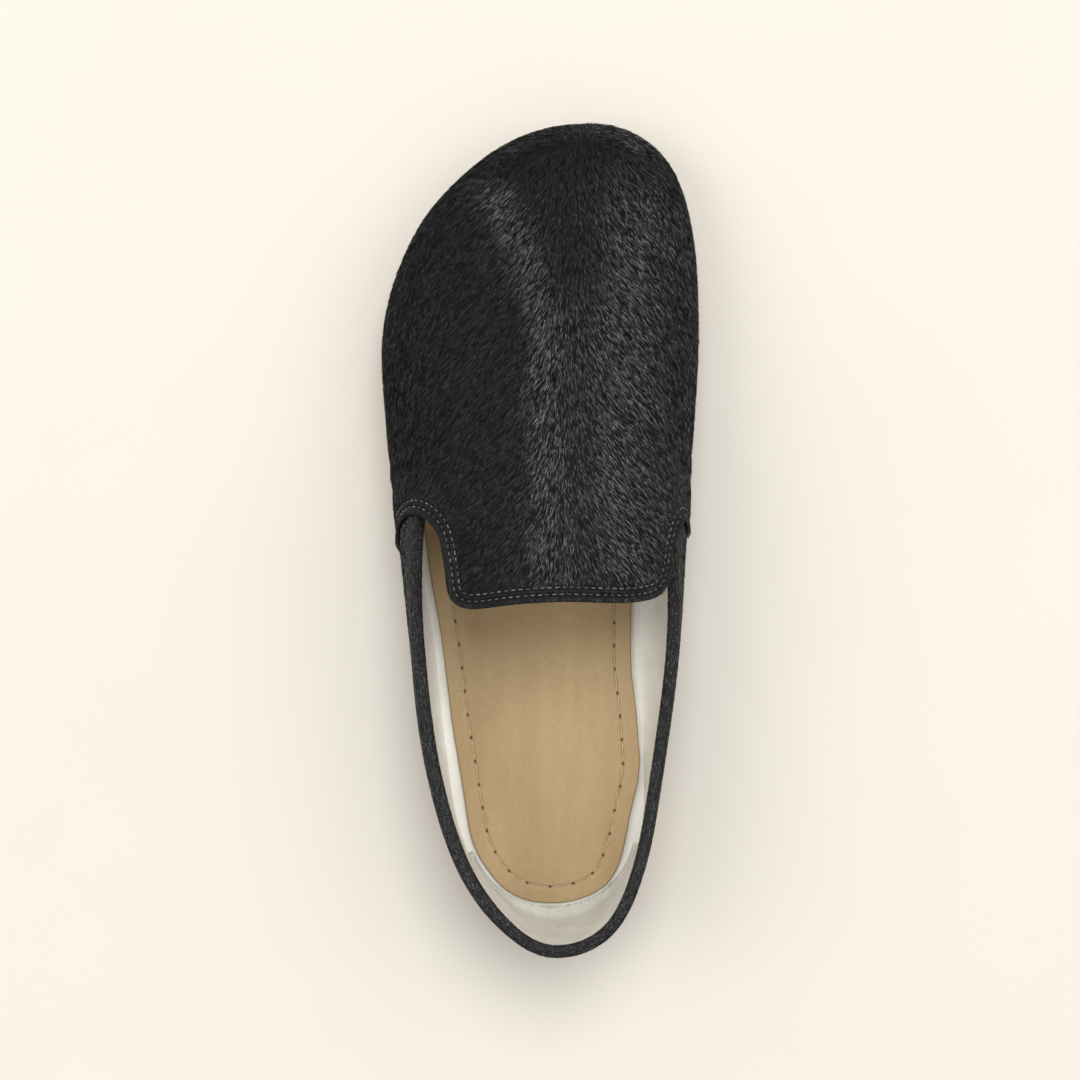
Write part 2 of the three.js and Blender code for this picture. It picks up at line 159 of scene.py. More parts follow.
def smooth(at, values):
    """A smooth curve through the values at the given places."""
    at, values = np.asarray(at, float), np.asarray(values, float)
    gaps = np.diff(at)
    rise = np.diff(values) / gaps
    slope = np.zeros(len(at))
    slope[1:-1] = (rise[:-1] * gaps[1:] + rise[1:] * gaps[:-1]) / (gaps[:-1] + gaps[1:])
    slope[0] = 1.5 * rise[0] - 0.5 * slope[1]
    slope[-1] = 1.5 * rise[-1] - 0.5 * slope[-2]

    def value(x):
        i = np.clip(np.searchsorted(at, x, side="right") - 1, 0, len(at) - 2)
        u = (x - at[i]) / gaps[i]
        return (
            values[i] * (1 + 2 * u) * (1 - u) ** 2 + slope[i] * gaps[i] * u * (1 - u) ** 2
            + values[i + 1] * u * u * (3 - 2 * u) + slope[i + 1] * gaps[i] * u * u * (u - 1)
        )

    return value


def ease(x, low, high):
    """Rises softly from 0 at low to 1 at high."""
    u = np.clip((x - low) / (high - low), 0, 1)
    return u * u * (3 - 2 * u)


def bell(x, width):
    """1 where x is 0, falling softly on both sides."""
    return np.exp(-((x / width) ** 2))


def unit(ways):
    return ways / np.maximum(1e-9, np.linalg.norm(ways, axis=-1, keepdims=True))


def drawn_edge(rows, heel, length, width):
    """The outline of rows, as a function of side (-1 outer, 1 inner), turn (0 heel, pi toe) and growth."""
    turns = np.arccos(1 - 2 * rows[:, 0])
    outer, inner = smooth(turns, rows[:, 1]), smooth(turns, rows[:, 2])

    def bare(side, turn):
        across = width * np.where(side < 0, outer(turn), inner(turn))
        return np.stack([across, heel + length * (1 - np.cos(turn)) / 2], -1)

    def edge(side, turn, grow):
        step = 1e-3
        run = bare(side, np.minimum(turn + step, np.pi)) - bare(side, np.maximum(turn - step, 0))
        run[..., 1] = np.where((turn <= step) | (turn >= np.pi - step), 0, run[..., 1])
        out = unit(np.stack([run[..., 1], -run[..., 0]], -1) * side[..., None])
        return bare(side, turn) + out * np.broadcast_to(grow, turn.shape)[..., None]

    return edge


sole_edge = drawn_edge(sole_rows, sole_heel, sole_length, sole_width)


def lift(y):
    """How far the sole springs up at the toe."""
    return toe_spring * (np.maximum(0, y - spring_start) / (sole_heel + sole_length - spring_start)) ** 2


def raised(points, height):
    """Flat points at a height above the sole's underside."""
    return np.column_stack([points, height + lift(points[:, 1])])


def run_of(line):
    """How far along a line each of its points lies."""
    return np.concatenate([[0], np.cumsum(np.linalg.norm(np.diff(line, axis=0), axis=1))])


def evenly(points, count, closed=False):
    """The places, as fractions of the point numbers, that lie evenly along a line of points."""
    line = np.vstack([points, points[:1]]) if closed else points
    run = run_of(line)
    return np.interp(np.linspace(0, run[-1], count, endpoint=not closed), run, np.arange(len(line)))


def picked(line, places):
    """The points of a line at fractions of its point numbers."""
    return np.stack([np.interp(places, np.arange(len(line)), line[:, k]) for k in range(line.shape[1])], -1)


def sole_ring(inset, places):
    """The outline drawn in by inset, round from the heel by the inner side and the toe."""
    side = np.where(places < np.pi, 1, -1)
    return sole_edge(side, np.where(places < np.pi, places, 2 * np.pi - places), -inset)


fine_turns = np.linspace(0, 2 * np.pi, 4000, endpoint=False)
ring_turns = evenly(sole_ring(0.0, fine_turns), 430, closed=True) * (2 * np.pi / 4000)
round_count = 72
round_turns = np.linspace(0, 2 * np.pi, round_count, endpoint=False)


def ring_at(*insets):
    """Evenly spaced points on the outline, drawn in by each inset."""
    return np.vstack([sole_ring(inset, ring_turns) for inset in insets])


def circle(*radii):
    """Points on circles round the rivet's axis."""
    spots = np.stack([np.cos(round_turns), np.sin(round_turns)], -1)
    return np.vstack([rivet_place + radius * spots for radius in radii])


def inside(points, ring):
    """Which points lie inside a closed ring."""
    result = np.zeros(len(points), bool)
    x, y = points[:, 0], points[:, 1]
    for (ax, ay), (bx, by) in zip(ring, np.roll(ring, -1, axis=0)):
        cut = (ay > y) != (by > y)
        result ^= cut & (x < ax + (y - ay) * (bx - ax) / (by - ay if by != ay else 1e-12))
    return result


def nearest(points, targets):
    """The distance to the nearest target, and its number."""
    index = KDTree(len(targets))
    for i, target in enumerate(targets):
        index.insert((*target, 0)[:3], i)
    index.balance()
    found = [index.find((*point, 0)[:3]) for point in points]
    return np.array([f[2] for f in found]), np.array([f[1] for f in found])


def cut_flat(rings, spacing, more=None):
    """A flat pattern inside the first ring and outside the others, filled with even points."""
    def within(some):
        keep = inside(some, rings[0])
        for hole in rings[1:]:
            keep &= ~inside(some, hole)
        return keep

    borders = np.vstack(rings)
    low, high = rings[0].min(0), rings[0].max(0)
    xs = np.arange(low[0], high[0], spacing)
    ys = np.arange(low[1], high[1], spacing * 0.866)
    wanted = np.array([(x + (j % 2) * spacing / 2, y) for j, y in enumerate(ys) for x in xs])
    if more is not None:
        away, _ = nearest(wanted, more)
        wanted = np.vstack([more, wanted[away > 0.6 * spacing]])
    wanted = wanted[within(wanted)]
    away, _ = nearest(wanted, borders)
    gap = np.median(np.linalg.norm(np.diff(rings[0], axis=0), axis=1))
    points = np.vstack([borders, wanted[away > 0.45 * min(gap, spacing)]])
    starts = np.cumsum([0] + [len(ring) for ring in rings])
    edges = [
        (start + i, start + (i + 1) % len(ring))
        for start, ring in zip(starts, rings) for i in range(len(ring))
    ]
    made = delaunay_2d_cdt([Vector(p) for p in points], edges, [], 0, 1e-7)
    spots = np.array([tuple(v) for v in made[0]])
    triangles = np.array(made[2])
    triangles = triangles[within(spots[triangles].mean(1))]
    a, b, c = (spots[triangles[:, k]] for k in range(3))
    area = (b[:, 0] - a[:, 0]) * (c[:, 1] - a[:, 1]) - (b[:, 1] - a[:, 1]) * (c[:, 0] - a[:, 0])
    triangles[area < 0] = triangles[area < 0][:, ::-1]
    number = np.full(len(points), -1)
    for new, olds in enumerate(made[3]):
        number[olds] = new
    borders = [number[starts[i]:starts[i + 1]] for i in range(len(rings))]
    return spots, triangles[np.abs(area) > 1e-9], borders


class Shape:
    """The points and faces of a piece, in the drawing's millimetres."""

    def __init__(self):
        self.points, self.faces, self.count = [], [], 0

    def add(self, points):
        self.points.append(np.asarray(points, float))
        self.count += len(points)
        return np.arange(self.count - len(points), self.count)

    def band(self, low, high, closed=True):
        a, b = (low, high) if closed else (low[:-1], high[:-1])
        c, d = (np.roll(low, -1), np.roll(high, -1)) if closed else (low[1:], high[1:])
        self.faces += np.stack([a, c, d, b], 1).tolist()

    def fill(self, numbers, triangles, down=False):
        rows = numbers[triangles]
        self.faces += (rows[:, ::-1] if down else rows).tolist()

    def climb(self, row, profile):
        """Bands from a row up round the sole, through rings at an inset and a height."""
        for inset, z in profile:
            higher = self.add(raised(ring_at(inset), z))
            self.band(row, higher)
            row = higher
        return row

    def piece(self, name, material, slot=None, stands_for=()):
        mesh = bpy.data.meshes.new(name)
        points = (np.vstack(self.points) + drawing_to_shoe) / 1000
        mesh.from_pydata(points.tolist(), [], self.faces)
        mesh.validate()
        mesh.shade_smooth()
        mesh.materials.append(material)
        return settle(placed(name, mesh), stands_for)


def settle(made, stands_for=()):
    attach(made, "root")
    if stands_for:
        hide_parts(*stands_for)
    return made


def lumps(points, scale, layer):
    """Soft noise at flat points."""
    return np.array([noise.noise(Vector((x, y, layer))) for x, y in points * scale])


dense_turns = np.linspace(0, 2 * np.pi, 2400, endpoint=False)
outline_dense = sole_ring(0.0, dense_turns)
seam_inset, stitch_count = 7.7, 74
edge_round, seat_radius = 1.4, 8.4


def underside(points):
    """How far the hide's underside stands above the floor: wrinkles, groove and rivet's pucker."""
    inset, _ = nearest(points, outline_dense)
    warp = lumps(points, 0.16, 3.1)
    worm = np.abs(lumps(points * (0.42, 0.36) + np.stack([warp, -warp], -1) * 1.6, 1, 0.3))
    wrinkles = 0.42 * np.maximum(0, 1 - worm * 3.4) + 0.07 * lumps(points, 1.1, 7.7)
    from_rivet = np.linalg.norm(points - rivet_place, axis=1)
    pucker = 0.35 * bell(from_rivet - 8.3, 1.3)
    return np.maximum(0, wrinkles * ease(inset, 8.6, 10.2)) + 0.62 * bell(inset - seam_inset, 0.62) + pucker


bends = np.linspace(0, math.pi / 2, 7)
rounded = [(edge_round * (1 - math.sin(a)), edge_round * (1 - math.cos(a))) for a in bends]
profile = rounded + [(0.04, sole_thick / 2)] + [(inset, sole_thick - z) for inset, z in reversed(rounded)]
fine_rows = np.vstack([
    ring_at(2.6, 4.2, 5.6, 6.5, 6.9, 7.2, 7.45, 7.7, 7.95, 8.2, 8.5, 8.9, 9.5),
    circle(8.8, 9.3, 9.9, 10.6),
])
made = Shape()
borders = [ring_at(edge_round), circle(seat_radius)]
flat, triangles, (edge_ring, seat_ring) = cut_flat(borders, 0.85, fine_rows)
bottom = made.add(raised(flat, underside(flat)))
made.fill(bottom, triangles, down=True)
side_row = made.climb(bottom[edge_ring], profile[1:])
borders = [ring_at(edge_round), circle(shank_radius)]
flat_top, triangles, (top_edge, top_hole) = cut_flat(borders, 3.5, ring_at(3.5))
top = made.add(raised(flat_top, sole_thick))
made.fill(top, triangles)
made.band(side_row, top[top_edge])
row = bottom[seat_ring]
for radius, z in ((8.15, 0.7), (8.1, 1.2), (8.1, 1.9), (shank_radius, 1.9)):
    higher = made.add(np.column_stack([circle(radius), np.full(round_count, z)]))
    made.band(higher, row)
    row = higher
made.band(top[top_hole], row)


def maths(tree, kind, first, second=0.0):
    return node(tree, "ShaderNodeMath", {0: first, 1: second}, operation=kind).outputs[0]


def ranged(tree, value, low, high, to_low=0.0, to_high=1.0):
    """A value eased from its own range to another."""
    ends = {"Value": value, "From Min": low, "From Max": high, "To Min": to_low, "To Max": to_high}
    return node(tree, "ShaderNodeMapRange", ends, interpolation_type="SMOOTHSTEP").outputs["Result"]


def seam_marks(tree, long, wide):
    """Painted shade in the pinholes where the stitches of the piece's seam map go in, and the groove between
    them painted darker.
    """
    group = bpy.data.node_groups.get("seam marks")
    if group is None:
        group = bpy.data.node_groups.new("seam marks", "ShaderNodeTree")
        sockets = {"Hole Length": "INPUT", "Hole Width": "INPUT", "Holes": "OUTPUT", "Groove": "OUTPUT"}
        for name, way in sockets.items():
            group.interface.new_socket(name, in_out=way, socket_type="NodeSocketFloat")
        given = node(group, "NodeGroupInput").outputs
        seam = node(group, "ShaderNodeUVMap", uv_map="seam").outputs["UV"]
        parts = node(group, "ShaderNodeSeparateXYZ", {"Vector": seam}).outputs
        away = maths(group, "DIVIDE", maths(group, "PINGPONG", parts["X"], 0.5), given["Hole Length"])
        aside = maths(group, "DIVIDE", parts["Y"], given["Hole Width"])
        spot = node(group, "ShaderNodeCombineXYZ", {"X": away, "Y": aside}).outputs[0]
        reach = node(group, "ShaderNodeVectorMath", {0: spot}, operation="LENGTH").outputs["Value"]
        holes = ranged(group, reach, 0.7, 1.3, 1, 0)
        groove = ranged(group, maths(group, "ABSOLUTE", aside), 0.5, 1.7, 1, 0)
        node(group, "NodeGroupOutput", {"Holes": holes, "Groove": groove})
    marks = node(tree, "ShaderNodeGroup", {"Hole Length": long, "Hole Width": wide}, node_tree=group)
    return marks.outputs["Holes"], marks.outputs["Groove"]


def blended(tree, share, first, second):
    """Two colours mixed by a share from 0 to 1. Each may be a socket or a plain colour."""
    values = {0: share, 6: first, 7: second}
    return node(tree, "ShaderNodeMix", values, data_type="RGBA", blend_type="MIX").outputs[2]


def relief(tree, height, strength, distance, under=None):
    """Fine relief on the shader, laid over the relief under it."""
    values = {"Height": height, "Strength": strength, "Distance": distance}
    if under is not None:
        values["Normal"] = under
    bump = node(tree, "ShaderNodeBump", values).outputs["Normal"]
    feed(tree, "Normal", bump)
    return bump


def marked(tree, name):
    return node(tree, "ShaderNodeAttribute", attribute_name=name).outputs["Fac"]


def store(mesh, name, values):
    """Keeps a number or a way for every point of a mesh."""
    values = np.asarray(values, np.float32)
    kind, key = ("FLOAT_VECTOR", "vector") if values.ndim == 2 else ("FLOAT", "value")
    mesh.attributes.new(name, kind, "POINT").data.foreach_set(key, values.ravel())


def corner_points(mesh):
    numbers = np.zeros(len(mesh.loops), int)
    mesh.loops.foreach_get("vertex_index", numbers)
    return numbers


def seam_round(inset):
    """A closed seam at an inset from the outline, how far along its points lie, and its length."""
    line = sole_ring(inset, dense_turns)
    run = run_of(line)
    return line, run, run[-1] + np.linalg.norm(line[0] - line[-1])


def seam_map(made, points, shown, inset, count):
    """A UV map along a seam: u counts its stitches and v is the distance from it in mm, or far off
    where the seam doesn't show. Gives back how far in from the outline each point lies."""
    line, run, total = seam_round(inset)
    _, number = nearest(points[:, :2], line)
    from_outline, _ = nearest(points[:, :2], outline_dense)
    mesh = made.data
    corner = corner_points(mesh)
    starts = np.zeros(len(mesh.polygons), int)
    mesh.polygons.foreach_get("loop_start", starts)
    u = (run[number] / total * count)[corner]
    first = np.repeat(u[starts], np.diff(np.append(starts, len(corner))))
    u = u - count * np.round((u - first) / count)
    v = np.where(shown, from_outline - inset, -9)[corner]
    mesh.uv_layers.new(name="seam").data.foreach_set("uv", np.stack([u, v], 1).ravel())
    return from_outline


tan_hide, tree = surface("napped_tan_hide", 0.72)
nap = cloudy(tree, 620, 5, 0.62)
patches = cloudy(tree, 70, 4)
worm = cloudy(tree, 330, 3, 0.6)
inner = shades(tree, worm, (0.3, 112, 68, 28), (0.5, 148, 95, 43), (0.72, 180, 124, 64))
border = shades(tree, patches, (0.25, 166, 106, 48), (0.7, 190, 127, 62))
tint = blended(tree, ranged(tree, marked(tree, "napped"), 0.2, 0.8), border, inner)
tint = blended(tree, 0.35, tint, shades(tree, nap, (0.3, 120, 76, 36), (0.7, 205, 146, 82)))
# Painted shade in the stitch holes, and the stitch groove painted darker.
holes, groove = seam_marks(tree, 0.085, 0.62)
tint = blended(tree, groove, tint, tone(112, 66, 30))
feed(tree, "Base Color", blended(tree, holes, tint, tone(34, 18, 9)))
relief(tree, nap, 0.35, 0.0003, relief(tree, worm, 0.55, 0.0006))
feed(tree, "Roughness", ranged(tree, nap, 0.2, 0.8, 0.6, 0.9))

outsole = made.piece("outsole_hide", tan_hide, "sole_hide", ["outsole"])
on_bottom = np.arange(made.count) < len(flat)
from_outline = seam_map(outsole, np.vstack(made.points), on_bottom, seam_inset, stitch_count)
store(outsole.data, "napped", np.where(on_bottom, ease(from_outline, 8.3, 9.6), 0))

# Outsole stitches. One cream waxed thread of two plies runs round the groove of the underside, in
# stitches of about 8 mm whose ends go up through the hide and the turned-in edge of the upper.


def fibrous(name, roughness, size, detail, dark, light, strength, depth=0.0001):
    """A look of fine fibres between two tones."""
    material, tree = surface(name, roughness)
    fibre = cloudy(tree, size, detail)
    tint = shades(tree, fibre, (0.3, *dark), (0.7, *light))
    feed(tree, "Base Color", tint)
    relief(tree, fibre, strength, depth)
    return material, tree, tint


waxed_thread, _, _ = fibrous("waxed_cream_thread", 0.5, 2600, 2, (208, 178, 134), (246, 228, 196), 0.4)


def new_tree(name, inputs):
    """A geometry node tree with the inputs named, and the sockets that they come in by."""
    tree = bpy.data.node_groups.new(name, "GeometryNodeTree")
    kinds = {"Geometry": "Geometry", "Seed": "Int", "Material": "Material"}
    for key in ("Geometry", *inputs, "Material"):
        kind = "NodeSocket" + kinds.get(key, "Float")
        tree.interface.new_socket(key, in_out="INPUT", socket_type=kind)
    tree.interface.new_socket("Geometry", in_out="OUTPUT", socket_type="NodeSocketGeometry")
    return tree, node(tree, "NodeGroupInput").outputs


def repeated(tree, given, points, thing, rotation, **scale):
    """Puts a thing on every point, as a plain mesh of the given material, and ends the tree."""
    values = {"Points": points, "Instance": thing, "Rotation": rotation, **scale}
    copies = node(tree, "GeometryNodeInstanceOnPoints", values).outputs["Instances"]
    real = node(tree, "GeometryNodeRealizeInstances", {"Geometry": copies}).outputs["Geometry"]
    values = {"Geometry": real, "Material": given["Material"]}
    painted = node(tree, "GeometryNodeSetMaterial", values).outputs["Geometry"]
    node(tree, "NodeGroupOutput", {"Geometry": painted})
    return tree


def kept(tree, name, kind="FLOAT"):
    """What store() kept under a name."""
    return node(tree, "GeometryNodeInputNamedAttribute", {"Name": name}, data_type=kind).outputs["Attribute"]


def stitch_tree():
    """Places one stitch of twisted thread on each point, along its "along" and away from its "out"."""
    tree, given = new_tree("stitches", ("Length", "Thickness", "Dive", "Rise", "Twists"))

    def times(socket, factor):
        return maths(tree, "MULTIPLY", socket, factor)

    def spot(along, high=0.0):
        return node(tree, "ShaderNodeCombineXYZ", {"X": along, "Z": high}).outputs[0]

    back, ahead, dive = times(given["Length"], -0.5), times(given["Length"], 0.5), times(given["Dive"], -1)
    bow = node(tree, "GeometryNodeCurvePrimitiveBezierSegment", {
        "Resolution": 9,
        "Start": spot(back, dive), "Start Handle": spot(times(back, 0.8), given["Rise"]),
        "End Handle": spot(times(ahead, 0.8), given["Rise"]), "End": spot(ahead, dive),
    }, mode="POSITION")
    share = node(tree, "GeometryNodeSplineParameter").outputs["Factor"]
    tilt = times(times(share, given["Twists"]), math.tau)
    twist = node(tree, "GeometryNodeSetCurveTilt", {"Curve": bow.outputs["Curve"], "Tilt": tilt})
    plies = node(tree, "GeometryNodeJoinGeometry")
    for side in (-1, 1):
        values = {"Resolution": 5, "Radius": times(given["Thickness"], 0.29)}
        ply = node(tree, "GeometryNodeCurvePrimitiveCircle", values)
        aside = spot(times(given["Thickness"], 0.21 * side))
        values = {"Geometry": ply.outputs["Curve"], "Translation": aside}
        moved = node(tree, "GeometryNodeTransform", values)
        tree.links.new(moved.outputs["Geometry"], plies.inputs["Geometry"])
    values = {"Fill Caps": True, "Curve": twist.outputs["Curve"], "Profile Curve": plies.outputs["Geometry"]}
    thread = node(tree, "GeometryNodeCurveToMesh", values)
    ways = {"Primary Axis": kept(tree, "out", "FLOAT_VECTOR")}
    ways["Secondary Axis"] = kept(tree, "along", "FLOAT_VECTOR")
    turn = node(tree, "FunctionNodeAxesToRotation", ways, primary_axis="Z", secondary_axis="X")
    return repeated(tree, given, given["Geometry"], thread.outputs["Mesh"], turn.outputs["Rotation"])


def grown(name, carrier, tree, inputs):
    """Runs a node tree on a carrier mesh and keeps what it makes as a plain piece."""
    holder = placed(name, carrier)
    modifier = holder.modifiers.new("made", "NODES")
    modifier.node_group = tree
    for item in tree.interface.items_tree:
        if item.item_type == "SOCKET" and item.in_out == "INPUT" and item.name in inputs:
            modifier[item.identifier] = inputs[item.name]
    shown = holder.evaluated_get(bpy.context.evaluated_depsgraph_get())
    mesh = bpy.data.meshes.new_from_object(shown)
    holder.modifiers.clear()
    holder.data = mesh
    mesh.name = name
    mesh.shade_smooth()
    bpy.data.meshes.remove(carrier)
    return holder


stitches = stitch_tree()


def sewn(name, places, along, out, material, length, thickness, dive, rise, twists):
    """A row of stitches at the places, in the drawing's millimetres."""
    carrier = bpy.data.meshes.new(name + "_places")
    carrier.from_pydata(((places + drawing_to_shoe) / 1000).tolist(), [], [])
    store(carrier, "along", along)
    store(carrier, "out", out)
    sizes = {"Length": length, "Thickness": thickness, "Dive": dive, "Rise": rise}
    inputs = {key: size / 1000 for key, size in sizes.items()}
    return settle(grown(name, carrier, stitches, {**inputs, "Twists": twists, "Material": material}))


def sewn_round(name, inset, count, height, out, fitted, *thread_and_sizes):
    """Stitches all round the sole, at a height and standing out up (1) or down (-1)."""
    _, run, total = seam_round(inset)
    at = np.interp((np.arange(count) + 0.5) / count * total, run, dense_turns)
    step = sole_ring(inset, at + 0.01) - sole_ring(inset, at - 0.01)
    places = fitted(raised(sole_ring(inset, at), height))
    along = np.column_stack([step, np.zeros(count)])
    sewn(name, places, along, np.tile((0.0, 0.0, out), (count, 1)), *thread_and_sizes)


sewn_round(
    "outsole_stitches", seam_inset, stitch_count, 0.62, -1, lambda places: places,
    waxed_thread, 7.5, 1.05, 0.9, 0.25, 3.5)

# Quarters. One piece of short-haired hide that wraps the heel from one side of the vamp to the
# other, 1.1 mm thick, skived thin where it runs on under the vamp. Its lower edge turns in over
# the outsole, its top edge is bound by the collar strip.
upper_rows = np.array([
    (0, 0.05, 0.05, 0.42, 1.4, 0.05, 3), (0.03, -0.112, 0.229, 0.42, 1.4, 0.05, 2.9),
    (0.1, -0.25, 0.32, 0.43, 1.34, 0.05, 2.6), (0.22, -0.349, 0.381, 0.46, 1.2, 0.05, 2.4),
    (0.36, -0.4, 0.43, 0.47, 1.08, 0.055, 2.3), (0.5, -0.442, 0.457, 0.42, 0.955, 0.06, 2.2),
    (0.62, -0.482, 0.485, 0.36, 0.81, 0.065, 2.15), (0.74, -0.495, 0.503, 0.31, 0.655, 0.075, 2.15),
    (0.86, -0.403, 0.487, 0.27, 0.51, 0.09, 2.2), (0.95, -0.2, 0.41, 0.25, 0.43, 0.105, 2.2),
    (1, 0.155, 0.155, 0.25, 0.39, 0.11, 2.2),
])
upper_length, upper_width, upper_heel, instep = 258, 99.6, -126, 66
cone_back, cone_front, feather_inset, foot_height = 45, 38, 1, 4.3
upper_edge = drawn_edge(upper_rows, upper_heel, upper_length, upper_width)
widest_at, crest_at, ridge_at, full_at = (smooth(upper_rows[:, 0], upper_rows[:, k]) for k in (3, 4, 5, 6))
collar_at = smooth(
    (-0.05, 0.04, 0.14, 0.26, 0.38, 0.5, 0.62), (0.845, 0.825, 0.755, 0.695, 0.675, 0.69, 0.72))


def ridge_point(turn):
    along = (1 - np.cos(turn)) / 2
    ahead = upper_heel + cone_back + along * (upper_length - cone_back - cone_front)
    return np.stack([upper_width * ridge_at(along), ahead], -1)


def last_point(side, turn, high, grow, rise=0.0):
    """A point on the last: high is -1 at the foot, 0 at the fullest line and 1 at the ridge."""
    side, turn, high, grow = np.broadcast_arrays(*(np.asarray(v, float) for v in (side, turn, high, grow)))
    along = (1 - np.cos(turn)) / 2
    widest, widest_z = upper_edge(side, turn, grow), instep * widest_at(along)
    foot = sole_edge(side, turn, grow - feather_inset)
    foot_z = foot_height + rise + lift(foot[..., 1])
    angle = (1 + np.minimum(high, 0)) * np.pi / 2
    low = np.concatenate([
        foot + (widest - foot) * np.sin(angle)[..., None],
        (foot_z + (widest_z - foot_z) * (1 - np.cos(angle)))[..., None],
    ], -1)
    full = full_at(along)
    upward = np.clip(high, 0, 1)
    even = upward ** (full / 2)
    angle = np.pi / 2 * even / (even + (1 - upward) ** (full / 2))
    ridge = ridge_point(turn)
    flat = ridge + (widest - ridge) * (np.maximum(0, np.cos(angle)) ** (2 / full))[..., None]
    ridge_z = instep * crest_at((flat[..., 1] - upper_heel) / upper_length) + grow
    top_z = widest_z + (ridge_z - widest_z) * np.sin(angle) ** (2 / full)
    top = np.concatenate([flat, top_z[..., None]], -1)
    return np.where((high < 0)[..., None], low, top)


# The upper's pieces are cut from a flat pattern, in which each rib of the last is laid out straight
# from the ridge line to its foot.
rib_count, rib_steps, share_steps = 360, 240, 200
rib_turns = np.linspace(0, np.pi, rib_count + 1)
rib_highs = np.linspace(-1, 1, rib_steps + 1)
ribs = {}
for side in (-1, 1):
    points = last_point(side, rib_turns[:, None], rib_highs[None, :], 0)
    long = np.linalg.norm(np.diff(points, axis=1), axis=-1)
    down = np.concatenate([np.cumsum(long[:, ::-1], 1)[:, ::-1], np.zeros((rib_count + 1, 1))], 1)
    way = unit(upper_edge(np.full(rib_count + 1, side), rib_turns, 0.0) - ridge_point(rib_turns))
    share = np.linspace(0, 1, share_steps + 1)
    high_of = np.stack([np.interp(share * d[0], d[::-1], rib_highs[::-1]) for d in down])
    ribs[side] = (ridge_point(rib_turns), way, down, high_of)


def between(table, row, column):
    i = np.clip(row.astype(int), 0, table.shape[0] - 2)
    j = np.clip(column.astype(int), 0, table.shape[1] - 2)
    u, v = row - i, column - j
    near = table[i, j] * (1 - u) + table[i + 1, j] * u
    far = table[i, j + 1] * (1 - u) + table[i + 1, j + 1] * u
    return near * (1 - v) + far * v


def to_pattern(side, turn, high):
    """Where a point of the last lies in the flat pattern."""
    side, turn, high = np.broadcast_arrays(*(np.asarray(v, float) for v in (side, turn, high)))
    result = np.zeros((len(turn), 2))
    for s in (-1, 1):
        pick = side == s
        ridge, way, down, _ = ribs[s]
        row = turn[pick] / np.pi * rib_count
        long = between(down, row, (high[pick] + 1) * rib_steps / 2)
        i = np.clip(row.astype(int), 0, rib_count - 1)
        u = (row - i)[:, None]
        heading = unit(way[i] * (1 - u) + way[i + 1] * u)
        result[pick] = ridge[i] * (1 - u) + ridge[i + 1] * u + heading * long[:, None]
    return result


def rib_of(points, headings, starts):
    """For points of one side, the fractional number of the rib that each lies on, and how far along."""
    rows, longs = np.zeros(len(points)), np.zeros(len(points))
    batch = 4000
    for first in range(0, len(points), batch):
        some = points[first:first + batch]
        apart = some[:, None] - starts[None]
        across = headings[None, :, 0] * apart[..., 1] - headings[None, :, 1] * apart[..., 0]
        passing = (across[:, :-1] > 0) & (across[:, 1:] <= 0)
        last_before = np.clip((across > 0).sum(1) - 1, 0, rib_count - 1)
        i = np.where(passing.any(1), passing.argmax(1), last_before)
        n = np.arange(len(some))
        here, there = across[n, i], across[n, i + 1]
        u = np.clip(here / np.where(here == there, 1, here - there), 0, 1)
        start = starts[i] * (1 - u)[:, None] + starts[i + 1] * u[:, None]
        rows[first:first + batch] = i + u
        longs[first:first + batch] = np.linalg.norm(some - start, axis=1)
    return rows, longs


def off_middle(points):
    """How far points of the pattern lie to the inner side of the ridge line."""
    starts = ribs[1][0]
    return points[:, 0] - np.interp(points[:, 1], starts[:, 1], starts[:, 0])


def side_of(points):
    past_ridge = np.maximum(0, points[:, 1] - ribs[1][0][-1, 1])
    toe_way = ribs[1][1][-1]
    return np.where(off_middle(points) < past_ridge * toe_way[0] / toe_way[1], -1, 1)


def from_pattern(points):
    """Which side, turn and height on the last a point of the flat pattern has."""
    side = side_of(points)
    turn, high = np.zeros(len(points)), np.zeros(len(points))
    for s in (-1, 1):
        pick = side == s
        starts, way, down, high_of = ribs[s]
        row, long = rib_of(points[pick] * (s, 1), way * (s, 1), starts * (s, 1))
        total = between(down[:, :2], row, np.zeros(len(row)))
        turn[pick] = row / rib_count * np.pi
        high[pick] = between(high_of, row, np.clip(long / np.where(total > 0, total, 1), 0, 1) * share_steps)
    return side, turn, high


def from_above(points, grow):
    """The same for points seen from straight above, on the upper half of the last."""
    side = side_of(points)
    turn, high = np.zeros(len(points)), np.zeros(len(points))
    for s in (-1, 1):
        pick = side == s
        starts = ribs[s][0]
        reach = upper_edge(np.full(rib_count + 1, s), rib_turns, grow) - starts
        longs = np.linalg.norm(reach, axis=1)
        row, long = rib_of(points[pick] * (s, 1), reach / longs[:, None] * (s, 1), starts * (s, 1))
        share = np.clip(long / np.interp(row, np.arange(rib_count + 1), longs), 0, 1)
        turn[pick] = row / rib_count * np.pi
        full = full_at((1 - np.cos(turn[pick])) / 2)
        angle = np.arccos(share ** (full / 2)) / (np.pi / 2)
        odds = (angle / np.maximum(1e-9, 1 - angle)) ** (2 / full)
        high[pick] = odds / (1 + odds)
    return side, turn, high


def collar_high(side, turn, low=0.0, top=1.0, drop=0.0):
    """The height on each rib, between low and top, at a drop below the collar's line."""
    for _ in range(26):
        middle = (low + top) / 2 + np.zeros(np.shape(turn))
        point = last_point(side, turn, middle, -1)
        under = point[..., 2] < instep * collar_at((point[..., 1] - upper_heel) / upper_length) - drop
        low, top = np.where(under, middle, low), np.where(under, top, middle)
    return low


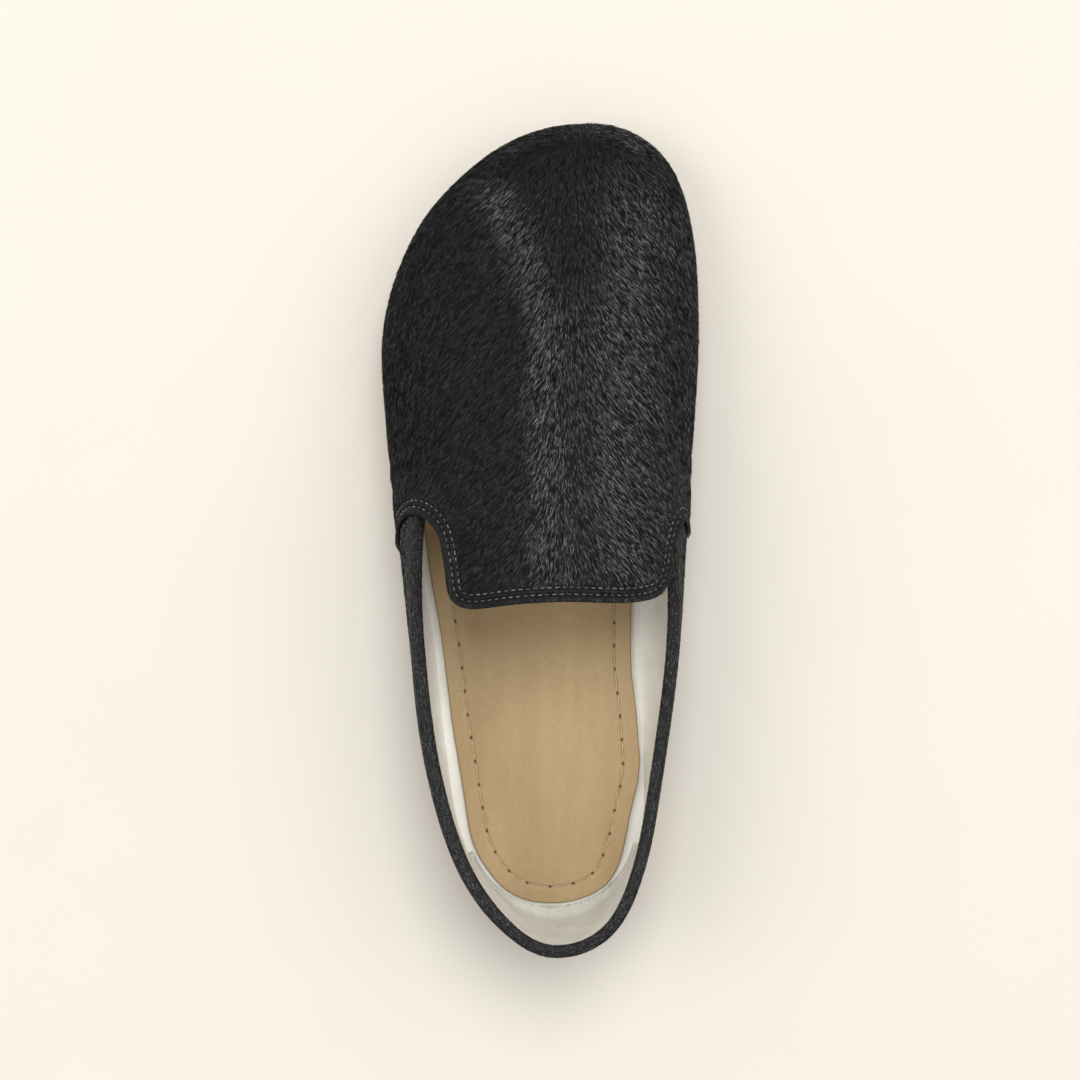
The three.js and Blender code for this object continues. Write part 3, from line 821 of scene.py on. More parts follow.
def drawn_through(knots, gap):
    """A smooth line through the knots, in even steps of about gap."""
    run = run_of(knots)
    fine = np.linspace(0, run[-1], 60 * len(knots))
    line = np.stack([smooth(run, knots[:, k])(fine) for k in range(knots.shape[1])], -1)
    return picked(line, evenly(line, max(3, int(round(run[-1] / gap)))))


def drawn_in(line, inset, closed=False):
    """A line moved to its left by inset."""
    if closed:
        step = np.roll(line, -1, axis=0) - np.roll(line, 1, axis=0)
    else:
        step = np.gradient(line, axis=0)
    return line + unit(np.stack([-step[:, 1], step[:, 0]], -1)) * inset


# The vamp's free edge, seen from above, from the outer side round the tab to the inner side.
tab_shape = np.array([
    (-0.4403, 0.504), (-0.4304, 0.5098), (-0.4146, 0.515), (-0.396, 0.5184), (-0.378, 0.5186),
    (-0.357, 0.515), (-0.3359, 0.508), (-0.318, 0.4992), (-0.307, 0.489), (-0.299, 0.475),
    (-0.292, 0.46), (-0.287, 0.4465), (-0.2835, 0.435), (-0.276, 0.4245), (-0.262, 0.4162),
    (-0.24, 0.411), (-0.208, 0.4086), (-0.17, 0.4094), (-0.125, 0.4119), (-0.0615, 0.4147),
    (0.002, 0.4164), (0.066, 0.4174), (0.13, 0.4171), (0.194, 0.4161), (0.26, 0.4158),
    (0.31, 0.4174), (0.347, 0.4208), (0.37, 0.4262), (0.388, 0.4345), (0.3985, 0.445),
    (0.405, 0.456), (0.409, 0.468), (0.4125, 0.479), (0.4165, 0.489), (0.4215, 0.4985),
    (0.4275, 0.5062), (0.435, 0.5108), (0.4425, 0.5105),
])
lap = 1.2
seam_start, ear_bend = {-1: -1.8, 1: 1.9}, {-1: 0.07, 1: 0.03}
seam_rake, rake_top, bend_start = 0.19, 30, 29


def raked_side(side):
    """The vamp's edge on one side, from the foot up to where the tab's curve begins."""
    highs = np.concatenate([np.linspace(-1, 0.0, 11), [0.05, 0.1, 0.14]])
    low, top = np.full(14, 0.6), np.full(14, 2.4)
    for _ in range(30):
        turn = (low + top) / 2
        point = last_point(side, turn, highs, lap)
        raked = seam_start[side] - seam_rake * np.maximum(0, rake_top - point[:, 2])
        before = point[:, 1] < raked + ear_bend[side] * np.maximum(0, point[:, 2] - bend_start) ** 2
        low, top = np.where(before, turn, low), np.where(before, top, turn)
    return to_pattern(side, turn, highs)


tab_points = tab_shape * (upper_width, upper_length) + (0, upper_heel)
tab_knots = to_pattern(*from_above(tab_points, lap))
vamp_edge = drawn_through(np.vstack([raked_side(-1), tab_knots, raked_side(1)[::-1]]), 0.8)
front_turns = [float(from_pattern(vamp_edge[k][None])[1][0]) for k in (0, -1)]


def vamp_step(turn):
    """How far the vamp stands out over the quarters, running out forwards."""
    ahead = ((1 - np.cos(turn)) / 2 - 0.484) * upper_length
    return lap * (1 - ease(ahead, 0, 34))


def rib_line(side, turn, start, end, gap):
    return drawn_through(to_pattern(side, turn, np.linspace(start, end, 60))[::6], gap)


def along_last(side, first, last, high, gap=1.5):
    """A line of the pattern across the ribs, at one height or at a function's."""
    turns = np.linspace(first, last, 400)
    line = to_pattern(side, turns, high(side, turns) if callable(high) else high)
    return picked(line, evenly(line, max(3, int(round(run_of(line)[-1] / gap)))))


def joined(*lines):
    """Lines end to end as one closed ring, each without its last point."""
    return np.vstack([line[:-1] for line in lines])


def wrapped(turns, foot, top, gap=1.5):
    """The outline of a sheet round the heel, which ends at one turn on each side."""
    ends = {side: float(top(float(side), np.array(turns[side]))) for side in (-1, 1)}
    return joined(
        along_last(-1, turns[-1], 0, foot, gap),
        along_last(1, 0, turns[1], foot, gap),
        rib_line(1, turns[1], foot, ends[1], gap),
        along_last(1, turns[1], 0, top, gap),
        along_last(-1, 0, turns[-1], top, gap),
        rib_line(-1, turns[-1], ends[-1], foot, gap),
    )


def shell(rings, spacing, outer, inner, rim, rise=0.0, more=None):
    """A sheet with rounded edges, laid on the last from a flat pattern. outer and inner say how far
    its two faces stand off the last, and rim how far its edges bulge out past the pattern."""
    made = Shape()
    drawn = [drawn_in(ring, rim, closed=True) for ring in rings]
    flat, triangles, borders = cut_flat(drawn, spacing, more)
    side, turn, high = from_pattern(flat)
    top, low = (face(flat, side, turn, high) + np.zeros(len(flat)) for face in (outer, inner))
    front = made.add(last_point(side, turn, high, top, rise))
    back = made.add(last_point(side, turn, high, low, rise))
    made.fill(front, triangles)
    made.fill(back, triangles, down=True)
    for ring, border in zip(drawn, borders):
        out = drawn_in(ring, -1, closed=True) - ring
        previous = back[border]
        for angle in np.linspace(-math.pi / 2, math.pi / 2, 7)[1:-1]:
            stand = (top[border] + low[border]) / 2 + (top[border] - low[border]) / 2 * math.sin(angle)
            spot = from_pattern(ring + out * rim * math.cos(angle))
            row = made.add(last_point(*spot, stand, rise))
            made.band(previous, row)
            previous = row
        made.band(previous, front[border])
    return made, flat, triangles, (side, turn, high, top)


def hair_shade(tree):
    """The short black hair: streaks along the pattern's nap, lighter and darker tufts."""
    group = bpy.data.node_groups.get("hair shade")
    if group is None:
        group = bpy.data.node_groups.new("hair shade", "ShaderNodeTree")
        for name in ("Streaks", "Tufts"):
            group.interface.new_socket(name, in_out="OUTPUT", socket_type="NodeSocketFloat")
        node(group, "NodeGroupOutput", {
            "Streaks": cloudy(group, 1.0, 3, 0.6, (2.6, 0.42, 1), "nap"),
            "Tufts": cloudy(group, 1.0, 2, 0.5, (0.42, 0.16, 1), "nap"),
        })
    made = node(tree, "ShaderNodeGroup", node_tree=group)
    return made.outputs["Streaks"], made.outputs["Tufts"]


def haired(name, roughness, middle, light, tufted, dull, glossy, depth):
    """A look of hide under its coat, painted near-black where its shade mark is set: painted shade in the
    stitch furrows and at the strip's ends.
    """
    material, tree = surface(name, roughness, Specular_IOR_Level=0.2)
    streaks, tufts = hair_shade(tree)
    coat = shades(tree, streaks, (0.32, 12, 12, 13), (0.52, *middle), (0.72, *light))
    coat = blended(tree, ranged(tree, tufts, 0.35, 0.65, 0.0, tufted), coat, tone(13, 13, 14))
    feed(tree, "Base Color", blended(tree, marked(tree, "painted_shade"), coat, tone(5, 5, 5)))
    feed(tree, "Roughness", ranged(tree, streaks, 0.3, 0.7, dull, glossy))
    relief(tree, streaks, 0.6, depth)
    return material


def nap_map(made, values):
    """A UV map in mm, across and along the lie of the hair."""
    layer = made.data.uv_layers.new(name="nap")
    layer.data.foreach_set("uv", values[corner_points(made.data)].ravel())


def shell_nap(made, shape, flat):
    """The nap map of a shell, on which the hair lies heelwards and outwards like a roof. Gives back
    the pattern's point for every point: the two faces', then the rims'."""
    points = np.vstack(shape.points)
    _, number = nearest(points[2 * len(flat):], points[:len(flat)])
    flat = np.vstack([flat, flat, flat[number]])
    off = off_middle(flat)
    nap_map(made, np.column_stack([off, flat[:, 1] + 0.42 * np.sqrt(off ** 2 + 40)]))
    return flat


quarter_turn = 1.62
haired_hide = haired("black_haired_hide", 0.55, (20, 20, 22), (42, 43, 45), 0.5, 0.75, 0.5, 0.00035)
made, quarter_flat, quarter_triangles, quarter_lie = shell(
    [wrapped({-1: quarter_turn, 1: quarter_turn}, -1, collar_high)], 2.0,
    lambda f, s, t, h: vamp_step(t) - lap,
    lambda f, s, t, h: -1.1 + 0.35 * (vamp_step(t) - lap), 0.5)
shell_nap(made.piece("quarters", haired_hide, "haired_hide"), made, quarter_flat)

# Vamp. One piece of the same hide over the forefoot, with a squared tab behind. Its free edge is
# turned under and rolled, laps over the quarters, and is held by two rows of grey stitches. Its
# lower edge turns in over the outsole with the quarters'.
vamp_ring = joined(
    along_last(1, front_turns[1], np.pi, -1),
    along_last(-1, np.pi, front_turns[0], -1),
    vamp_edge,
)
first_row, second_row = 2.3, 4.3


def rolled_edge(flat):
    """The rounded lip, and the two furrows that the rows of stitches pull down."""
    away, _ = nearest(flat, vamp_edge)
    lip, furrows = 0.6 * bell(away - 0.8, 0.8), 0.38 * bell(away - first_row, 0.45)
    return lip - furrows + 0.14 * bell(away - 3.3, 0.5) - 0.34 * bell(away - second_row, 0.45)


def over_strip(flat):
    """How far the vamp swells where it passes over the two ends of the collar strip."""
    near = [np.exp(-((flat - spot) ** 2).sum(1) / 52) for spot in ((-41.0, 7.0), (47.5, 5.5))]
    return 1.1 * (near[0] + near[1])


def soft_folds(flat):
    """Slight unevenness of worn hide, with two shallow creases where the forefoot bends."""
    crease = np.zeros(len(flat))
    for side, y, lean in ((-1, 21, 0.22), (-1, 31, 0.3), (1, 24, -0.2), (1, 35, -0.3)):
        line = y + lean * (flat[:, 0] - side * 45)
        crease += -0.35 * ease(side * flat[:, 0], 34, 52) * bell(flat[:, 1] - line, 2.4)
    return 0.35 * lumps(flat, 0.03, 1.7) + crease


def vamp_outer(flat, side, turn, high):
    return vamp_step(turn) - 0.35 + rolled_edge(flat) + over_strip(flat) + soft_folds(flat)


steps_in = (1.1, 1.6, 2.0, 2.3, 2.6, 2.95, 3.3, 3.65, 4.0, 4.3, 4.6, 5.1, 5.9, 6.9)
near_edge = np.vstack([drawn_in(vamp_edge, step) for step in steps_in])
away, _ = nearest(near_edge, vamp_edge)
near_edge = near_edge[away > 0.97 * np.repeat(steps_in, len(vamp_edge))]
made, vamp_flat, vamp_triangles, vamp_lie = shell(
    [vamp_ring], 1.8, vamp_outer,
    lambda f, s, t, h: vamp_step(t) - 1.1 + over_strip(f), 0.6, more=near_edge)
vamp = made.piece("vamp", haired_hide, "haired_hide", ["upper"])
away, _ = nearest(shell_nap(vamp, made, vamp_flat), vamp_edge)
# The hide is painted near-black along both rows of stitches: painted shade in their furrows.
store(vamp.data, "painted_shade", bell(away - first_row, 0.5) + bell(away - second_row, 0.5))

# Vamp stitches. Two rows of grey thread, about ten stitches to the inch, that hold the rolled edge
# down. The rows run together round the tab and down both sides.
grey_thread, tree, tint = fibrous("grey_thread", 0.55, 3000, 2, (104, 104, 106), (172, 172, 175), 0.3)
worn = ranged(tree, cloudy(tree, 320, 2), 0.42, 0.58, 0.0, 0.7)
feed(tree, "Base Color", blended(tree, worn, tint, tone(58, 58, 60)))
stitch_pitch = 2.15


def laid(flat, stand):
    """The place of pattern points on the last, and the way out of it."""
    lie = from_pattern(flat)
    low = last_point(*lie, stand)
    return low, unit(last_point(*lie, stand + 1.0) - low)


for number, inset in ((1, first_row), (2, second_row)):
    line = drawn_in(vamp_edge, inset)
    away, _ = nearest(line, vamp_edge)
    line = drawn_through(line[away > 0.985 * inset][::3], 0.4)
    run = run_of(line)
    middles = np.linspace(2, run[-1] - 2, int(run[-1] / stitch_pitch))
    middles = np.interp(middles, run, np.arange(len(run)))
    spot = picked(line, middles)
    stand = vamp_outer(spot, *from_pattern(spot)) + 0.16
    place, out = laid(spot, stand)
    along = laid(picked(line, middles + 1), stand)[0] - place
    sewn(f"vamp_stitches_{number}", place, along, out, grey_thread, 1.25, 0.42, 0.45, 0.35, 1.5)

# Turned-in edge. The lower edge of the upper lies flat on the outsole, under the insole, where the
# outsole's stitches hold it.
hide_back, _, _ = fibrous("hide_flesh_side", 0.9, 700, 4, (120, 104, 86), (152, 136, 114), 0.5, 0.0004)


def margin(name, profile, material, slot=None):
    """A flat band all round the sole, with a profile of insets and heights."""
    made = Shape()
    rows = [made.add(raised(ring_at(inset), z)) for inset, z in profile]
    for low, high in zip(rows, rows[1:] + rows[:1]):
        made.band(high, low)
    made.piece(name, material, slot)


margin("turned_in_edge", [
    (2.4, 4.45), (2.6, 4.32), (12.7, 4.32), (13, 4.6), (13, 5.6), (12.7, 5.88), (2.6, 5.88), (2.4, 5.75),
], hide_back)

# Lining. Smooth off-white leather, glued inside the whole upper, up under the collar strip and to
# the rolled edge of the tab.
white_leather, tree = surface("off_white_leather", 0.5)
creased = cloudy(tree, 90, 5, 0.6)
pores = cloudy(tree, 1500, 3)
tint = shades(tree, creased, (0.3, 232, 231, 225), (0.7, 247, 246, 241))
speckle = shades(tree, pores, (0.3, 205, 202, 193), (0.7, 248, 247, 243))
feed(tree, "Base Color", blended(tree, 0.15, tint, speckle))
relief(tree, pores, 0.25, 0.00015, relief(tree, creased, 0.25, 0.0008))

edge_side, edge_turn, edge_high = from_pattern(vamp_edge)
over_opening = np.nonzero(edge_high > collar_high(edge_side, edge_turn))[0]
tab_part = drawn_in(vamp_edge, 1.0)[over_opening[0]:over_opening[-1] + 1]
_, tab_ends, _ = from_pattern(tab_part[[0, -1]])
opening = joined(
    along_last(-1, tab_ends[0], 0, collar_high),
    along_last(1, 0, tab_ends[1], collar_high),
    tab_part[::-1][::2],
)
lining_ring = joined(along_last(1, 0, np.pi, -1), along_last(-1, np.pi, 0, -1))
lining_lift = 1.65


def lining_outer(flat, side, turn, high):
    """Against the quarters, and up against the vamp under its tab."""
    under_tab = ease(high - collar_high(side, turn), 0.02, 0.2)
    return -1.2 + under_tab * (vamp_step(turn) + 0.05)


made, _, _, _ = shell(
    [lining_ring, opening], 2.6, lining_outer,
    lambda f, s, t, h: lining_outer(f, s, t, h) - 0.78, 0.38, rise=lining_lift)
made.piece("lining", white_leather, "insole_leather")
margin("lining_turned_in", [
    (2.3, 6.0), (2.6, 5.93), (12.4, 5.93), (12.6, 6.0), (12.4, 6.12), (3.2, 6.12), (2.6, 6.1),
], white_leather, "insole_leather")

# Heel patch. Thin grey-white suede, glued over the lining round the inside of the heel, where the
# foot rubs. Its two front edges run down the wall.
heel_suede, tree = surface("grey_suede", 0.95, Sheen_Weight=0.3)
fuzz = cloudy(tree, 900, 5, 0.7)
tint = shades(tree, fuzz, (0.3, 192, 192, 186), (0.7, 228, 228, 222))
worn = shades(tree, cloudy(tree, 120, 4), (0.3, 196, 196, 191), (0.7, 234, 233, 227))
feed(tree, "Base Color", blended(tree, 0.5, tint, worn))
relief(tree, fuzz, 0.6, 0.0003)


def patch_top(side, turn):
    return collar_high(side, turn) - 0.012


def patch_inner(flat, side, turn, high):
    """Low lumps and a fold up the patch's middle, and a fuller foot and a thinner top."""
    fold = bell(flat[:, 0] - 5.2, 0.5) * (flat[:, 1] < -90)
    lumpy = (0.1 * lumps(flat, 0.09, 5.5) - 0.12 * fold) * ease(-high, -0.75, -0.3)
    return -2.42 - lumpy - 1.3 * ease(-high, 0.65, 0.95)


made, _, _, _ = shell(
    [wrapped({-1: 0.575, 1: 0.62}, -0.975, patch_top, 1.0)], 1.5,
    lambda f, s, t, h: -1.99, patch_inner, 0.2, rise=lining_lift)
made.piece("heel_patch", heel_suede, "insole_leather")

# Collar strip. A strip of the same haired hide folded over the top edge of the quarters and the
# lining, 4.6 mm down each side, from one side of the vamp round the heel to the other.
collar_hide = haired("black_hide_strip", 0.5, (24, 24, 26), (50, 51, 53), 0.0, 0.65, 0.4, 0.0003)
strip_gap, strip_thick, strip_deep, strip_room, strip_steps = 1.14, 0.66, 4.6, 0.95, 330

collar_span = np.concatenate([-np.linspace(1.85, 0, 220), np.linspace(0, 1.85, 220)[1:]])
collar_sides, collar_turns = np.where(collar_span < 0, -1.0, 1.0), np.abs(collar_span)
collar_highs = collar_high(collar_sides, collar_turns)
collar_top = last_point(collar_sides, collar_turns, collar_highs, -1)
deep_highs = collar_high(collar_sides, collar_turns, -0.4, collar_highs, strip_deep)
collar_up = unit(collar_top - last_point(collar_sides, collar_turns, deep_highs, -1))
collar_out = unit(np.cross(np.gradient(collar_top, axis=0), collar_up))

flank = [(strip_gap + out, up) for out, up in (
    (0, 0.25 - strip_deep), (0.1, -strip_deep), (0.37, 0.05 - strip_deep), (0.52, 0.5 - strip_deep),
    (0.61, -3.2), (strip_thick, -1.8), (strip_thick, -0.4), (strip_thick, 0.5),
)]
fold = [
    ((strip_gap + strip_thick) * math.cos(a), strip_room + strip_thick * math.sin(a))
    for a in np.linspace(0, math.pi, 15)
]
hollow = [(strip_gap - 0.5, strip_room - 0.1), (strip_gap, strip_room - 0.5), (strip_gap, -2)]
strip_section = flank + fold + [(-x, z) for x, z in reversed(flank)]
strip_section += [(-x, z) for x, z in reversed(hollow)] + hollow
fuller = 0.45 * ease(-collar_span, 0.25, 0.5) * (1 - ease(-collar_span, 1.1, 1.4))
strip_lines = []
vamp_outline = last_point(*from_pattern(vamp_edge), 1.6)[:, :2]
vamp_cover = np.vstack([vamp_outline, [(80, 0), (80, 160), (-80, 160), (-80, 0)]])
for out, up in strip_section:
    line = collar_top + collar_out * (out + (fuller * (out > 0))[:, None]) + collar_up * up
    clear = np.nonzero(~inside(line[:, :2], vamp_cover))[0]
    first, last = max(0, clear[0] - 8), min(len(line) - 1, clear[-1] + 8)
    strip_lines.append(picked(line, evenly(line[first:last + 1], strip_steps) + first))
strip_lines = np.array(strip_lines)
made = Shape()
rows = [made.add(strip_lines[:, k]) for k in range(strip_steps)]
for low, high in zip(rows[:-1], rows[1:]):
    made.band(low, high)
made.faces += [rows[0][::-1].tolist(), rows[-1].tolist()]
strip = made.piece("collar_strip_hide", collar_hide, "haired_hide", ["collar_strip"])
strip_run = run_of(strip_lines[14])
from_end = np.minimum(strip_run, strip_run[-1] - strip_run)
girth = run_of(np.array(strip_section))
nap_map(strip, np.column_stack([np.tile(girth, strip_steps), np.repeat(strip_run, len(strip_section))]))
# The strip's hide is painted dark near both ends: painted shade where it runs under the vamp's lip.
store(strip.data, "painted_shade", np.repeat(1 - ease(from_end, 2.5, 6), len(strip_section)))

# Hair. The hide's own short black hair, about 2 mm long. On the vamp it starts from a swirl at the
# toe and lies heelwards, leaning outwards from the middle like a roof, and round the toe it follows
# the edge. It is longest on the forefoot, and clipped short on the rolled edge and the strip.
black_hair, tree = surface("black_hair", 0.42, Specular_IOR_Level=0.2)
feed(tree, "Base Color", shades(
    tree, marked(tree, "shade"), (0.0, 8, 8, 9), (0.12, 15, 15, 16), (0.35, 38, 38, 40),
    (0.6, 64, 65, 68), (0.85, 100, 102, 106), (1.0, 138, 141, 146)))
fibre = cloudy(tree, 2400, 2)
feed(tree, "Roughness", ranged(tree, fibre, 0.3, 0.7, 0.36, 0.5))
relief(tree, fibre, 0.2, 0.00005)


def hair_tree():
    """Grows tapered hairs on a carrier mesh, each along its "lay" and as bright as the painted light and
    shade kept on the carrier.
    """
    tree, given = new_tree("hairs", ("Hairs", "Gap", "Length", "Width", "Lift", "Stray", "Seed"))

    def times(first, second):
        return maths(tree, "MULTIPLY", first, second)

    def chance(low, high, shift, vector=False):
        first = 0 if vector else 2
        ends = ((low,) * 3, (high,) * 3) if vector else (low, high)
        values = {first: ends[0], first + 1: ends[1], "Seed": maths(tree, "ADD", given["Seed"], shift)}
        kind = "FLOAT_VECTOR" if vector else "FLOAT"
        return node(tree, "FunctionNodeRandomValue", values, data_type=kind).outputs[0 if vector else 1]

    def scaled(vector, factor):
        return node(tree, "ShaderNodeVectorMath", {0: vector, "Scale": factor}, operation="SCALE").outputs[0]

    def added(first, second):
        return node(tree, "ShaderNodeVectorMath", {0: first, 1: second}, operation="ADD").outputs[0]

    roots = node(tree, "GeometryNodeDistributePointsOnFaces", {
        "Mesh": given["Geometry"], "Seed": given["Seed"],
    }, distribute_method="POISSON")
    tree.links.new(given["Gap"], roots.inputs["Distance Min"])
    tree.links.new(given["Hairs"], roots.inputs["Density Max"])
    # Each hair's tone is the painted light and shade kept on the carrier, times a random brightness.
    lit = times(maths(tree, "GREATER_THAN", chance(0.0, 1.0, 11), 0.5), chance(0.75, 1.45, 17))
    shade = times(kept(tree, "painted_light"), maths(tree, "ADD", lit, chance(0.0, 0.3, 18)))
    values = {"Geometry": roots.outputs["Points"], "Name": "shade", "Value": shade}
    shaded = node(tree, "GeometryNodeStoreNamedAttribute", values, data_type="FLOAT", domain="POINT")
    rising = scaled(roots.outputs["Normal"], times(given["Lift"], chance(0.5, 1.5, 12)))
    stray = scaled(chance(-1.0, 1.0, 13, vector=True), given["Stray"])
    heading = added(added(kept(tree, "lay", "FLOAT_VECTOR"), rising), stray)
    aimed = node(tree, "FunctionNodeAlignRotationToVector", {"Vector": heading}, axis="Z")
    values = {"Axis": (0, 0, 1), "Angle": chance(-math.pi, math.pi, 14)}
    spin = node(tree, "FunctionNodeAxisAngleToRotation", values)
    values = {"Rotation": aimed.outputs["Rotation"], "Rotate By": spin.outputs["Rotation"]}
    rolled = node(tree, "FunctionNodeRotateRotation", values, rotation_space="LOCAL")
    values = {"Vertices": 3, "Radius Top": 0.0, "Radius Bottom": 1.0, "Depth": 1.0}
    values.update({"Side Segments": 1, "Fill Segments": 1})
    spike = node(tree, "GeometryNodeMeshCone", values, fill_type="NGON")
    half = times(given["Width"], chance(0.35, 0.65, 15))
    long = times(times(given["Length"], kept(tree, "reach")), chance(0.65, 1.25, 16))
    size = node(tree, "ShaderNodeCombineXYZ", {"X": half, "Y": times(half, 0.6), "Z": long})
    return repeated(
        tree, given, shaded.outputs["Geometry"], spike.outputs["Mesh"], rolled.outputs["Rotation"],
        Scale=size.outputs[0])


hairs = hair_tree()


def coated(name, points, triangles, lay, painted_light, reach, per_mm2, length, width, lift, seed):
    """Hair on a face of points in the drawing's millimetres. lay is its direction at each point, and the
    brightness given for each point is painted light and shade.
    """
    carrier = bpy.data.meshes.new(name + "_ground")
    carrier.from_pydata(((points + drawing_to_shoe) / 1000).tolist(), [], triangles.tolist())
    for key, values in (("lay", unit(lay)), ("painted_light", painted_light), ("reach", reach)):
        store(carrier, key, values)
    sizes = {
        "Hairs": per_mm2 * 4e6, "Gap": 0.83 / math.sqrt(per_mm2) / 1000, "Length": length / 1000,
        "Width": width / 1000, "Lift": lift, "Stray": 0.11, "Seed": seed, "Material": black_hair,
    }
    return settle(grown(name, carrier, hairs, sizes))


swirl_at = 12.4


def combed(flat, side, turn):
    """Which way the hair lies in the flat pattern, how far out from the ridge line it grows, from 0
    to 1 at the fullest line, and 1 where it is round the toe."""
    edge, start = to_pattern(side, turn, 0.0), ridge_point(turn)
    along = unit(edge - to_pattern(side, np.minimum(3.12, turn + 0.02), 0.0))
    share = np.linalg.norm(flat - start, axis=1) / np.linalg.norm(edge - start, axis=1)
    at_toe = ease(turn, 2.55, 2.9)
    follow = ease(share, 0.45 + 0.26 * at_toe, 0.95 - 0.17 * at_toe)[:, None]
    lean = np.radians(40) * np.tanh(off_middle(flat) / 11) * (1 - 0.25 * ease(flat[:, 1], 95, 120))
    down = np.column_stack([np.sin(lean), -np.cos(lean)])
    parting = (np.tanh(np.abs(flat[:, 0] - swirl_at) / 5) * at_toe + 1 - at_toe)[:, None]
    way = down * (1 - follow) + (along * parting + unit(edge - start) * (1 - parting) * 0.7) * follow
    return unit(way), share, at_toe


def ways_on_last(flat, side, turn, high, stand):
    points = last_point(side, turn, high, stand)
    ahead = from_pattern(flat + combed(flat, side, turn)[0] * 0.6)
    return points, last_point(*ahead, stand) - points


# The hair's brightness is painted light and shade. There is a painted highlight in a stripe down the vamp's
# middle, over its inner half and round the toe's edge. There is painted shade towards the toe, along
# the swirl's parting and in the margin by the stitches, and a painted highlight on the rolled lip.
points, lay = ways_on_last(vamp_flat, *vamp_lie)
across, up = points[:, 0], points[:, 1]
stripe_ups, stripe_places = (-15, 45, 68, 77, 86, 96, 105, 115), (1.5, 1, 1.5, -2, -4.5, -9, -13, -16)
from_stripe = across - np.interp(up, stripe_ups, stripe_places)
stripe = bell(from_stripe, np.where(from_stripe < 0, 6, 8))
right = np.interp(across - 5 * ease(up, 60, 90), (3, 10, 20, 27, 42), (0, 0.1, 0.32, 0.32, 0.14))
painted_light = 0.46 + 0.36 * stripe * (1 - ease(up, 108, 118)) + right * (1 - 0.45 * ease(up, 98, 120))
_, share, at_toe = combed(vamp_flat, vamp_lie[0], vamp_lie[1])
swirl = at_toe * bell(share - 0.755, 0.03) * bell(across - 10, 14)
painted_light = painted_light * (1 - 0.12 * ease(up, 106, 120)) + 0.12 * at_toe * ease(share, 0.78, 0.86)
from_edge, _ = nearest(vamp_flat, vamp_edge)
painted_light *= (0.88 - 0.75 * swirl) * (0.72 + 0.28 * ease(from_edge, 4, 6))
painted_light += 0.1 * bell(from_edge - 1, 0.9)
reach = (0.42 + 0.58 * ease(from_edge, 4.6, 9)) * (1 - 0.5 * swirl)
reach *= 1 - 0.65 * at_toe * ease(share, 0.8, 0.9) * bell(vamp_flat[:, 0] - swirl_at, 6)
reach *= 1 - 0.85 * bell(from_edge - first_row, 0.45) - 0.85 * bell(from_edge - second_row, 0.45)
middle_of = vamp_flat[vamp_triangles].mean(1)
parts = np.where(middle_of[:, 1] > 62, 0, np.where(middle_of[:, 0] < 8, 1, 2))
for part, name in enumerate(("vamp_hair_toe", "vamp_hair_outer", "vamp_hair_inner")):
    coated(name, points, vamp_triangles[parts == part], lay, painted_light, reach, 4.5, 2.3, 0.33, 0.12, 3 + part)

points, lay = ways_on_last(quarter_flat, *quarter_lie)
middle_of = quarter_flat[quarter_triangles].mean(1)
side, turn, high = from_pattern(middle_of)
shown = ~inside(middle_of, vamp_ring) & (high < collar_high(side, turn) - 0.1)
even_sheen, even_reach = np.full(len(points), 0.62), np.ones(len(points))
coated(
    "quarter_hair", points, quarter_triangles[shown], lay, even_sheen, even_reach,
    3.4, 2.3, 0.33, 0.13, 7)

# On the strip the hair lies along it, towards the heel from both sides of the vamp.
outside = strip_lines[1:30]
heelwards = np.where(np.arange(strip_steps) < strip_steps // 2, 1, -1)
strip_lay = np.gradient(outside, axis=1) * heelwards[None, :, None]
cell = (np.arange(len(outside) - 1)[:, None] * strip_steps + np.arange(strip_steps - 1)).ravel()
cells = np.stack([cell + strip_steps, cell + strip_steps + 1, cell + 1, cell], 1)
from_end = np.tile(from_end, len(outside))
# Near both ends, where the strip runs under the vamp's lip, its hair is painted darker: painted shade.
coated(
    "strip_hair", outside.reshape(-1, 3), cells, strip_lay.reshape(-1, 3),
    0.14 + 0.4 * ease(from_end, 3, 7.5), 0.5 + 0.5 * ease(from_end, 3, 6), 4.4, 1.8, 0.3, 0.12, 9)

# Insole. Smooth tan leather, 2 mm thick with its edge painted dark, filled out below between the
# turned-in edges. It is sewn round with light thread about 5 mm in from its edge.
insole_hide, tree = surface("smooth_tan_leather", 0.46)
long_streaks = cloudy(tree, 95, 4, 0.55, (1, 0.16, 1))
clouds = cloudy(tree, 32, 3)
pores = cloudy(tree, 1300, 3)
tint = shades(tree, long_streaks, (0.3, 160, 135, 96), (0.7, 181, 157, 117))
tint = blended(tree, 0.3, tint, shades(tree, clouds, (0.3, 154, 128, 89), (0.7, 184, 161, 122)))
tint = blended(tree, 0.12, tint, shades(tree, pores, (0.3, 140, 112, 72), (0.7, 208, 186, 146)))
# Painted shade in the stitch holes, and the stitch groove painted darker.
holes, groove = seam_marks(tree, 0.07, 0.42)
tint = blended(tree, groove, tint, tone(158, 131, 90))
tint = blended(tree, holes, tint, tone(70, 48, 28))
feed(tree, "Base Color", blended(tree, marked(tree, "rubbed"), tint, tone(82, 54, 30)))
feed(tree, "Roughness", ranged(tree, clouds, 0.3, 0.7, 0.4, 0.54))
relief(tree, long_streaks, 0.12, 0.0006, relief(tree, pores, 0.2, 0.00012))

